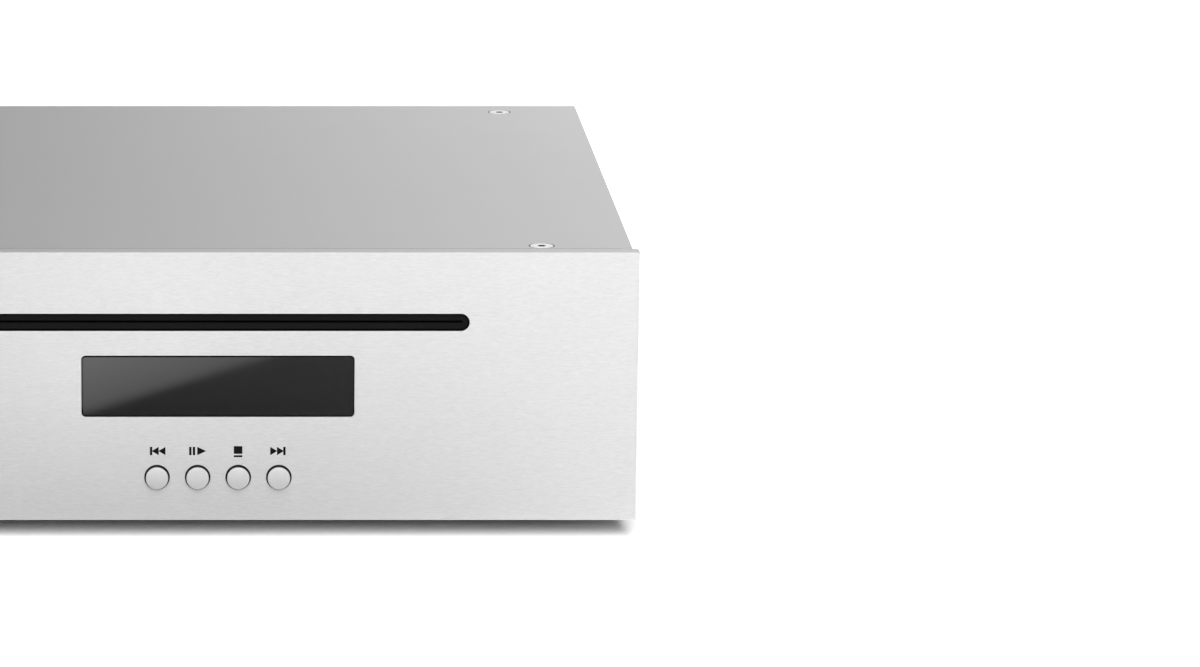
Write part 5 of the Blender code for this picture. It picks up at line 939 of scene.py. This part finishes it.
# %% Rubber roller
WAIST = 0.0043
RUBBER_EDGE = 0.0003
ROLLER_BORE = 0.0018
low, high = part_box("roller_sleeve")
centre = (low + high) / 2
radius = (high.z - low.z) / 2
profile = [
    (radius - RUBBER_EDGE, low.x),
    (radius, low.x + RUBBER_EDGE),
    (WAIST, 0.0),
    (radius, high.x - RUBBER_EDGE),
    (radius - RUBBER_EDGE, high.x),
]
sleeve = lathe("X", centre, profile, HOLE_STEPS)
bore_ends = (low.x - OVERRUN, high.x + OVERRUN)
cut(sleeve, cylinder("X", centre, ROLLER_BORE, *bore_ends, BORE_STEPS))
finish(sleeve, "rubber_roller", "black_rubber", "roller_sleeve")

# %% Rubber dampers
DAMPER_WAIST = 0.0032
DAMPER_RIM = 0.0030
for node in sorted(name for name in frame["nodes"] if name.startswith("damper_")):
    low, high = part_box(node)
    centre = (low + high) / 2
    radius = (high.x - low.x) / 2
    profile = [
        (radius - RUBBER_EDGE, low.z),
        (radius, low.z + RUBBER_EDGE),
        (radius, low.z + DAMPER_RIM - RUBBER_EDGE),
        (radius - RUBBER_EDGE, low.z + DAMPER_RIM),
        (DAMPER_WAIST, centre.z),
        (radius - RUBBER_EDGE, high.z - DAMPER_RIM),
        (radius, high.z - DAMPER_RIM + RUBBER_EDGE),
        (radius, high.z - RUBBER_EDGE),
        (radius - RUBBER_EDGE, high.z),
    ]
    finish(lathe("Z", centre, profile), f"rubber_{node}", "black_rubber", node)

# %% Turntable
TABLE_TOP = 0.0510
TABLE_THICK = 0.0020
TABLE_RADIUS = 0.0150
TABLE_RIM = 0.0003
HUB_BOTTOM = 0.0475
HUB_RADIUS = 0.0040
HUB_BORE = 0.0010
GROOVE_DEPTH = 0.0003
low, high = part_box("turntable")
table_bottom = TABLE_TOP - TABLE_THICK
profile = [
    (0.0, low.z),
    (HUB_BORE, low.z),
    (HUB_BORE, HUB_BOTTOM),
    (HUB_RADIUS, HUB_BOTTOM),
    (HUB_RADIUS, table_bottom),
    (TABLE_RADIUS - TABLE_RIM, table_bottom),
    (TABLE_RADIUS, table_bottom + TABLE_RIM),
    (TABLE_RADIUS, TABLE_TOP - TABLE_RIM),
    (TABLE_RADIUS - TABLE_RIM, TABLE_TOP),
    (0.0132, TABLE_TOP),
    (0.0130, TABLE_TOP - GROOVE_DEPTH),
    (0.0090, TABLE_TOP - GROOVE_DEPTH),
    (0.0088, TABLE_TOP),
    (0.0074, TABLE_TOP),
    (0.0060, high.z),
    (0.0, high.z),
]
table = lathe("Z", (low + high) / 2, profile, SMOOTH_STEPS)
finish(table, "turned_table", "black_plastic", "turntable")

# %% Objective lens
LENS_EDGE = 0.0002
LENS_SEAT = 0.0026
CROWN_RADIUS = 0.0024
CROWN_RISE = 0.0007
CROWN_STEPS = 6
low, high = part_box("objective_lens")
holder = (high.x - low.x) / 2
crown_z = high.z - CROWN_RISE
profile = [
    (0.0, low.z),
    (holder - LENS_EDGE, low.z),
    (holder, low.z + LENS_EDGE),
    (holder, crown_z - LENS_EDGE),
    (holder - LENS_EDGE, crown_z),
    (LENS_SEAT, crown_z),
]
for step in range(CROWN_STEPS + 1):
    angle = math.pi / 2 * step / CROWN_STEPS
    profile.append((CROWN_RADIUS * math.cos(angle), crown_z + CROWN_RISE * math.sin(angle)))
lens = lathe("Z", (low + high) / 2, profile, HOLE_STEPS)
finish(lens, "objective_glass", "lens_glass", "objective_lens")

# %% [markdown]
# ## The circuit boards
#
# In the CAD model the main board is one piece with its parts on top. Seen close up it is glass
# fibre with green lacquer, a black chip, sleeved capacitors and a white connector. Cutting the
# copy with one box for each part gives them their own finish. The capacitors are spun instead.

# %% Split the main board
BOARD_TOP = 0.0126
BOARD_EDGE = 0.00008
CHIP_HALF = 0.0072
CHIP_RISE = 0.003
CHIP_EDGE = 0.00025
PLUG_ENDS = (0.010, 0.027)
PLUG_SIZE = 0.004
PLUG_EDGE = 0.00015
main_low, main_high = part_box("main_board")
board_y = (main_low.y + main_high.y) / 2


def portion(node, low, high, width):
    """The portion of a CAD node between two corners, its edges rounded."""
    return soften(combine(whole(node), [block(low, high)], "INTERSECT"), width, 2)


laminate_high = (main_high.x + OVERRUN, main_high.y + OVERRUN, BOARD_TOP)
board = portion("main_board", main_low - MARGIN, laminate_high, BOARD_EDGE)
finish(board, "main_board_laminate", "circuit_board", "main_board")
chip = portion(
    "main_board",
    (-CHIP_HALF, board_y - CHIP_HALF, BOARD_TOP),
    (CHIP_HALF, board_y + CHIP_HALF, BOARD_TOP + CHIP_RISE),
    CHIP_EDGE,
)
finish(chip, "main_board_chip", "black_plastic")
plug = portion(
    "main_board",
    (PLUG_ENDS[0], main_low.y - OVERRUN, BOARD_TOP),
    (PLUG_ENDS[1], main_low.y + PLUG_SIZE, BOARD_TOP + PLUG_SIZE),
    PLUG_EDGE,
)
finish(plug, "main_board_connector", "white_plastic")

# %% Capacitors
CAPACITOR = 0.0050
CAPACITOR_XS = (0.050, 0.035, 0.020)
CAPACITOR_BACK = 0.014
top = main_high.z
for index, x in enumerate(CAPACITOR_XS):
    centre = (x, board_y + CAPACITOR_BACK, 0)
    sleeve_profile = [
        (CAPACITOR - 0.0006, BOARD_TOP),
        (CAPACITOR, BOARD_TOP + 0.0004),
        (CAPACITOR, BOARD_TOP + 0.0011),
        (CAPACITOR - 0.0004, BOARD_TOP + 0.0015),
        (CAPACITOR, BOARD_TOP + 0.0019),
        (CAPACITOR, top - 0.0004),
        (CAPACITOR - 0.0004, top - 0.0001),
        (CAPACITOR - 0.0009, top - 0.0001),
        (CAPACITOR - 0.0009, BOARD_TOP),
    ]
    can_profile = [
        (CAPACITOR - 0.0010, BOARD_TOP),
        (CAPACITOR - 0.0010, top - 0.0001),
        (CAPACITOR - 0.0013, top),
        (0.0, top),
    ]
    sleeve = lathe("Z", centre, sleeve_profile, HOLE_STEPS)
    finish(sleeve, f"capacitor_sleeve_{index}", "black_plastic")
    can = lathe("Z", centre, can_profile, HOLE_STEPS)
    finish(can, f"capacitor_can_{index}", "motor_steel")

# %% Split the front board
front_low, front_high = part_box("front_board")
board_back = front_low.y + 0.0016
laminate_high = (front_high.x + OVERRUN, board_back, front_high.z + OVERRUN)
laminate = portion("front_board", front_low - MARGIN, laminate_high, BOARD_EDGE)
finish(laminate, "front_board_laminate", "circuit_board", "front_board")
socket_low = (front_low.x, board_back, front_low.z - OVERRUN)
socket = portion("front_board", socket_low, front_high + MARGIN, PLUG_EDGE)
finish(socket, "front_board_connector", "white_plastic")

# %% [markdown]
# ## The rear sockets
#
# Each audio socket is a nickel plated collar round a plastic insulator, one white and one red, as
# audio sockets have for left and right. The power inlet's pin is plated too.

# %% Audio sockets
JACK_Z = 0.0198
JACK_XS = {"left": -0.052, "right": -0.038}
COLLAR_OUTER = 0.00415
COLLAR_WALL = 0.00055
JACK_BORE = 0.0017
JACK_BORE_DEPTH = 0.0080
HOUSING_EDGE = 0.0002
jack_low, jack_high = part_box("audio_jack_pair")
end = jack_high.y
inner = COLLAR_OUTER - COLLAR_WALL
housing_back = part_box("rear_panel")[0].y - 0.0003
housing_high = (jack_high.x + OVERRUN, housing_back, jack_high.z + OVERRUN)
housing = portion("audio_jack_pair", jack_low - MARGIN, housing_high, HOUSING_EDGE)
finish(housing, "audio_jack_housing", "black_plastic", "audio_jack_pair")
red_plastic = grained("moulded_red", (0.42, 0.012, 0.012), 0.40, tone=0.06)
collar_profile = [
    (COLLAR_OUTER, housing_back),
    (COLLAR_OUTER, end - 0.0004),
    (COLLAR_OUTER - 0.0002, end),
    (inner + 0.0001, end),
    (inner, end - 0.0003),
    (inner, housing_back),
]
insulator_profile = [
    (0.0, housing_back),
    (inner - 0.00002, housing_back),
    (inner - 0.00002, end - 0.0006),
    (inner - 0.0004, end - 0.0003),
    (JACK_BORE + 0.0003, end - 0.0003),
    (JACK_BORE, end - 0.0006),
    (JACK_BORE, end - JACK_BORE_DEPTH),
    (0.0, end - JACK_BORE_DEPTH),
]
for side, x in JACK_XS.items():
    centre = Vector((x, 0, JACK_Z))
    collar = lathe("Y", centre, collar_profile, SMOOTH_STEPS)
    bm = bmesh.new()
    bm.from_mesh(collar.data)
    bmesh.ops.bridge_loops(bm, edges=[edge for edge in bm.edges if edge.is_boundary])
    bm.to_mesh(collar.data)
    bm.free()
    finish(collar, f"audio_collar_{side}", "screw_steel")
    insulator = lathe("Y", centre, insulator_profile, HOLE_STEPS)
    look = red_plastic if side == "right" else None
    finish(insulator, f"audio_insulator_{side}", "white_plastic", look=look)

# %% Power inlet
PIN = 0.0011
PIN_EDGE = 0.0002
INLET_BORE = 0.0032
INLET_DEPTH = 0.0090
inlet_low, inlet_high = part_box("power_inlet")
inlet = (inlet_low + inlet_high) / 2
inlet_end = inlet_high.y
pin_profile = [
    (0.0, inlet_end - INLET_DEPTH),
    (PIN, inlet_end - INLET_DEPTH),
    (PIN, inlet_end - 0.0014),
    (PIN - PIN_EDGE, inlet_end - 0.0010),
    (0.0, inlet_end - 0.0010),
]
pin = lathe("Y", inlet, pin_profile, BORE_STEPS)
bore = cylinder("Y", inlet, INLET_BORE, inlet_end - INLET_DEPTH, inlet_end + OVERRUN)
ring = soften(cut(block(inlet_low, inlet_high), bore), PLUG_EDGE, 2)
finish(ring, "power_inlet_housing", "black_plastic", "power_inlet")
finish(pin, "power_inlet_pin", "screw_steel")

# %% [markdown]
# ## Camera
#
# The photograph was taken from straight ahead with a long lens, a little above the player, and
# cropped so that the player runs out of the picture on the left. A shifted lens gives the same
# crop without turning the camera.

# %% Camera
CAMERA_PLACE = (0.0, face_y - 1.2074, 0.3158)
CAMERA_DOWN = 12.338
camera_data = bpy.data.cameras.new("camera")
camera_data.lens = 151.47
camera_data.sensor_width = 36.0
camera_data.shift_x = 0.3184
camera = bpy.data.objects.new("camera", camera_data)
camera.location = CAMERA_PLACE
camera.rotation_euler = (math.radians(90 - CAMERA_DOWN), 0, 0)
bpy.context.scene.collection.objects.link(camera)
bpy.context.scene.camera = camera
print("camera", round(-CAMERA_PLACE[1], 2), "m in front, looking down by", CAMERA_DOWN, "degrees")

# %% [markdown]
# ## The floor
#
# A studio table photograph on white: the floor and the background are the same white, and only
# the soft shadow under the player tells them apart. The camera sees a bright floor that fades
# into pure white with distance. The metal mirrors a floor of its own, darker to the left and
# brighter to the right, which gives the face its long gradient. All other light meets a grey one.

# %% Floor
FLOOR_HALF = 4.0
FLOOR_GAIN = 1.8
SIDE_TONE = 1.1
BACK_TONE = 1.2


def choose(tree, factor, first, second):
    """The first value where the factor is 0, the second where it is 1."""
    return add(tree, "Mix", {"Factor": factor, "A": first, "B": second}).outputs["Result"]


def bare_tree(shape, name):
    """Give a stage piece a material without a shader and return its tree."""
    material = bpy.data.materials.new(name)
    material.use_nodes = True
    material.node_tree.nodes.remove(material.node_tree.nodes["Principled BSDF"])
    shape.data.materials.append(material)
    return material.node_tree


bm = bmesh.new()
bmesh.ops.create_grid(bm, x_segments=2, y_segments=2, size=FLOOR_HALF)
floor = shape_from(bm, "floor")
tree = bare_tree(floor, "floor_white")
place = own_place(tree)
axes = own_axes(tree)
x, y = axes["X"], axes["Y"]
rays = add(tree, "LightPath").outputs
shade = spread(tree, noise(tree, place, (6, 6, 6)), 0.43, 0.47)
rightward = spread(tree, x, 0.0, 1.0, start=-0.06, end=0.105)
steeper = calculate(tree, "POWER", rightward, 3.0)
near = spread(tree, steeper, 0.38, 1.20, start=0.0, end=1.0)
beyond = spread(tree, x, 0.66, 1.50, start=-0.152, end=0.14)
ahead = spread(tree, y, 0.0, 1.0, start=face_y - 0.0105, end=face_y - 0.3105)
rise = spread(tree, y, 0.0, 0.8, start=face_y - 0.0095, end=face_y - 0.0045)
fall = spread(tree, y, 1.0, 0.0, start=face_y + 0.0010, end=face_y + 0.0030)
outside = spread(tree, x, 1.0, 0.0, start=-0.135, end=-0.112)
behind = spread(tree, y, 0.0, 1.0, start=0.05, end=0.10)
around = choose(tree, ahead, choose(tree, outside, near, SIDE_TONE), beyond)
mirrored = choose(tree, behind, around, BACK_TONE)
mirrored = calculate(tree, "ADD", mirrored, product(tree, rise, fall))

# %% Join the floor's tones
direct = calculate(tree, "LESS_THAN", rays["Diffuse Depth"], 0.5)
reflected = product(tree, rays["Is Glossy Ray"], direct)
tone = choose(tree, reflected, shade, mirrored)
tone = choose(tree, rays["Is Camera Ray"], tone, FLOOR_GAIN)
matt = add(tree, "BsdfDiffuse", {"Color": tone}).outputs["BSDF"]
distance = add(tree, "VectorMath", {0: place}, operation="LENGTH").outputs["Value"]
far = spread(tree, distance, 0.0, 1.0, start=0.14, end=0.50)
glow = product(tree, far, rays["Is Camera Ray"])
light = add(tree, "Emission", {"Strength": glow}).outputs["Emission"]
surface = add(tree, "AddShader", {0: matt, 1: light}).outputs["Shader"]
tree.links.new(surface, tree.nodes["Material Output"].inputs["Surface"])
print("floor", 2 * FLOOR_HALF, "m wide")

# %% [markdown]
# ## The room and the lamps
#
# The room is white to the camera and in reflections, but gives little light of its own, so that
# the shadow stays. The light comes from four large soft lamps: one above, which the metal also
# mirrors, a strong one in front and above, a smaller one straight ahead, and one behind.

# %% White room
ROOM_LIGHT = 0.11
bpy.context.scene.view_settings.view_transform = "Standard"
world = bpy.data.worlds.new("white_room")
bpy.context.scene.world = world
world.use_nodes = True
tree = world.node_tree
background = tree.nodes["Background"]
rays = add(tree, "LightPath").outputs
seen = calculate(tree, "MAXIMUM", rays["Is Camera Ray"], rays["Is Glossy Ray"])
seen = calculate(tree, "MAXIMUM", seen, rays["Is Transmission Ray"])
strength = spread(tree, seen, ROOM_LIGHT, 1.0, start=0.0, end=1.0)
background.inputs["Color"].default_value = (1, 1, 1, 1)
tree.links.new(strength, background.inputs["Strength"])
print("the room lights the scene at", ROOM_LIGHT, "of its brightness")

# %% Lamps
MIDDLE = (0.0, 0.0, 0.03)


def softbox(name, place, aim, size, power, mirrored=False):
    """An area lamp that points at a place."""
    light = bpy.data.lights.new(name, "AREA")
    light.shape = "RECTANGLE"
    light.size, light.size_y = size
    light.energy = power
    lamp = bpy.data.objects.new(name, light)
    lamp.location = place
    lamp.rotation_euler = (Vector(aim) - Vector(place)).to_track_quat("-Z", "Y").to_euler()
    bpy.context.scene.collection.objects.link(lamp)
    lamp.visible_camera = False
    lamp.visible_glossy = mirrored
    print(name, "gives", power, "W")


softbox("top_softbox", (0.1, 0.1, 1.3), (0.0, 0.0, 0.0), (1.0, 1.2), 3.4, True)
softbox("key_softbox", (0.12, -1.0, 0.85), MIDDLE, (0.8, 1.3), 10.0)
softbox("front_softbox", (0.05, -1.55, 0.66), MIDDLE, (0.6, 0.6), 5.8)
softbox("rear_softbox", (-0.1, 1.4, 0.75), MIDDLE, (0.8, 0.8), 3.0)

# %% [markdown]
# ## Two cards
#
# A studio sets cards round a shiny thing to shape what it mirrors. A grey card behind the player,
# darker to the left, is what the cover mirrors. A bright strip low in front of the player is what
# the smoked window mirrors as a slanting glare. Only glossy rays meet the cards.

# %% Grey card
CARD = ((-0.9, 0.42, 0.0), (0.9, 0.422, 0.8))


def stand_card(card, name):
    """Name a card and let only glossy rays meet it."""
    card.name = name
    card.visible_camera = False
    card.visible_diffuse = False
    card.visible_transmission = False
    card.visible_shadow = False
    print(name, "stands on the stage")


card = block(*CARD)
tree = bare_tree(card, "grey_card")
axes = own_axes(tree)
across = spread(tree, axes["X"], 0.35, 1.14, start=-0.12, end=0.17)
upward = spread(tree, axes["Z"], 1.30, 0.50, start=0.05, end=0.40)
strength = product(tree, across, upward)
light = add(tree, "Emission", {"Strength": strength}).outputs["Emission"]
tree.links.new(light, tree.nodes["Material Output"].inputs["Surface"])
stand_card(card, "grey_card")

# %% Glare strip
GLARE_Z = 0.004
GLARE_LOW = (-0.050, face_y - 0.2025, GLARE_Z - 0.0001)
GLARE_HIGH = (0.036, face_y - 0.1045, GLARE_Z)
GLARE_CORNER = (0.0168, face_y - 0.1860, 0.0)
GLARE_ACROSS = (-0.812, -0.583, 0.0)
GLARE_DIM = 2.8
GLARE_BRIGHT = 3.9
GLARE_SOFT = 0.0125
GLARE_REACH = 0.0426
strip = block(GLARE_LOW, GLARE_HIGH)
tree = bare_tree(strip, "glare_strip")
corner = {0: own_place(tree), 1: GLARE_CORNER}
offset = add(tree, "VectorMath", corner, operation="SUBTRACT").outputs["Vector"]
slant = {0: offset, 1: GLARE_ACROSS}
inside = add(tree, "VectorMath", slant, operation="DOT_PRODUCT").outputs["Value"]
strength = spread(tree, inside, GLARE_DIM, GLARE_BRIGHT, start=GLARE_SOFT, end=GLARE_REACH)
light = add(tree, "Emission", {"Strength": strength}).outputs["Emission"]
clear = add(tree, "BsdfTransparent").outputs["BSDF"]
edge = spread(tree, inside, 0.0, 1.0, start=0.0, end=GLARE_SOFT)
surface = add(tree, "MixShader", {0: edge, 1: clear, 2: light}).outputs["Shader"]
tree.links.new(surface, tree.nodes["Material Output"].inputs["Surface"])
stand_card(strip, "glare_strip")

# %% [markdown]
# ## The CAD nodes left
#
# The CAD nodes that no piece stands for are still seen, and their names are printed. The
# visual pieces must stay inside the CAD model's box.

# %% CAD nodes still seen
kept = [name for name, node in frame["nodes"].items() if not node.hide_render]
print("CAD nodes that are still seen:", kept)
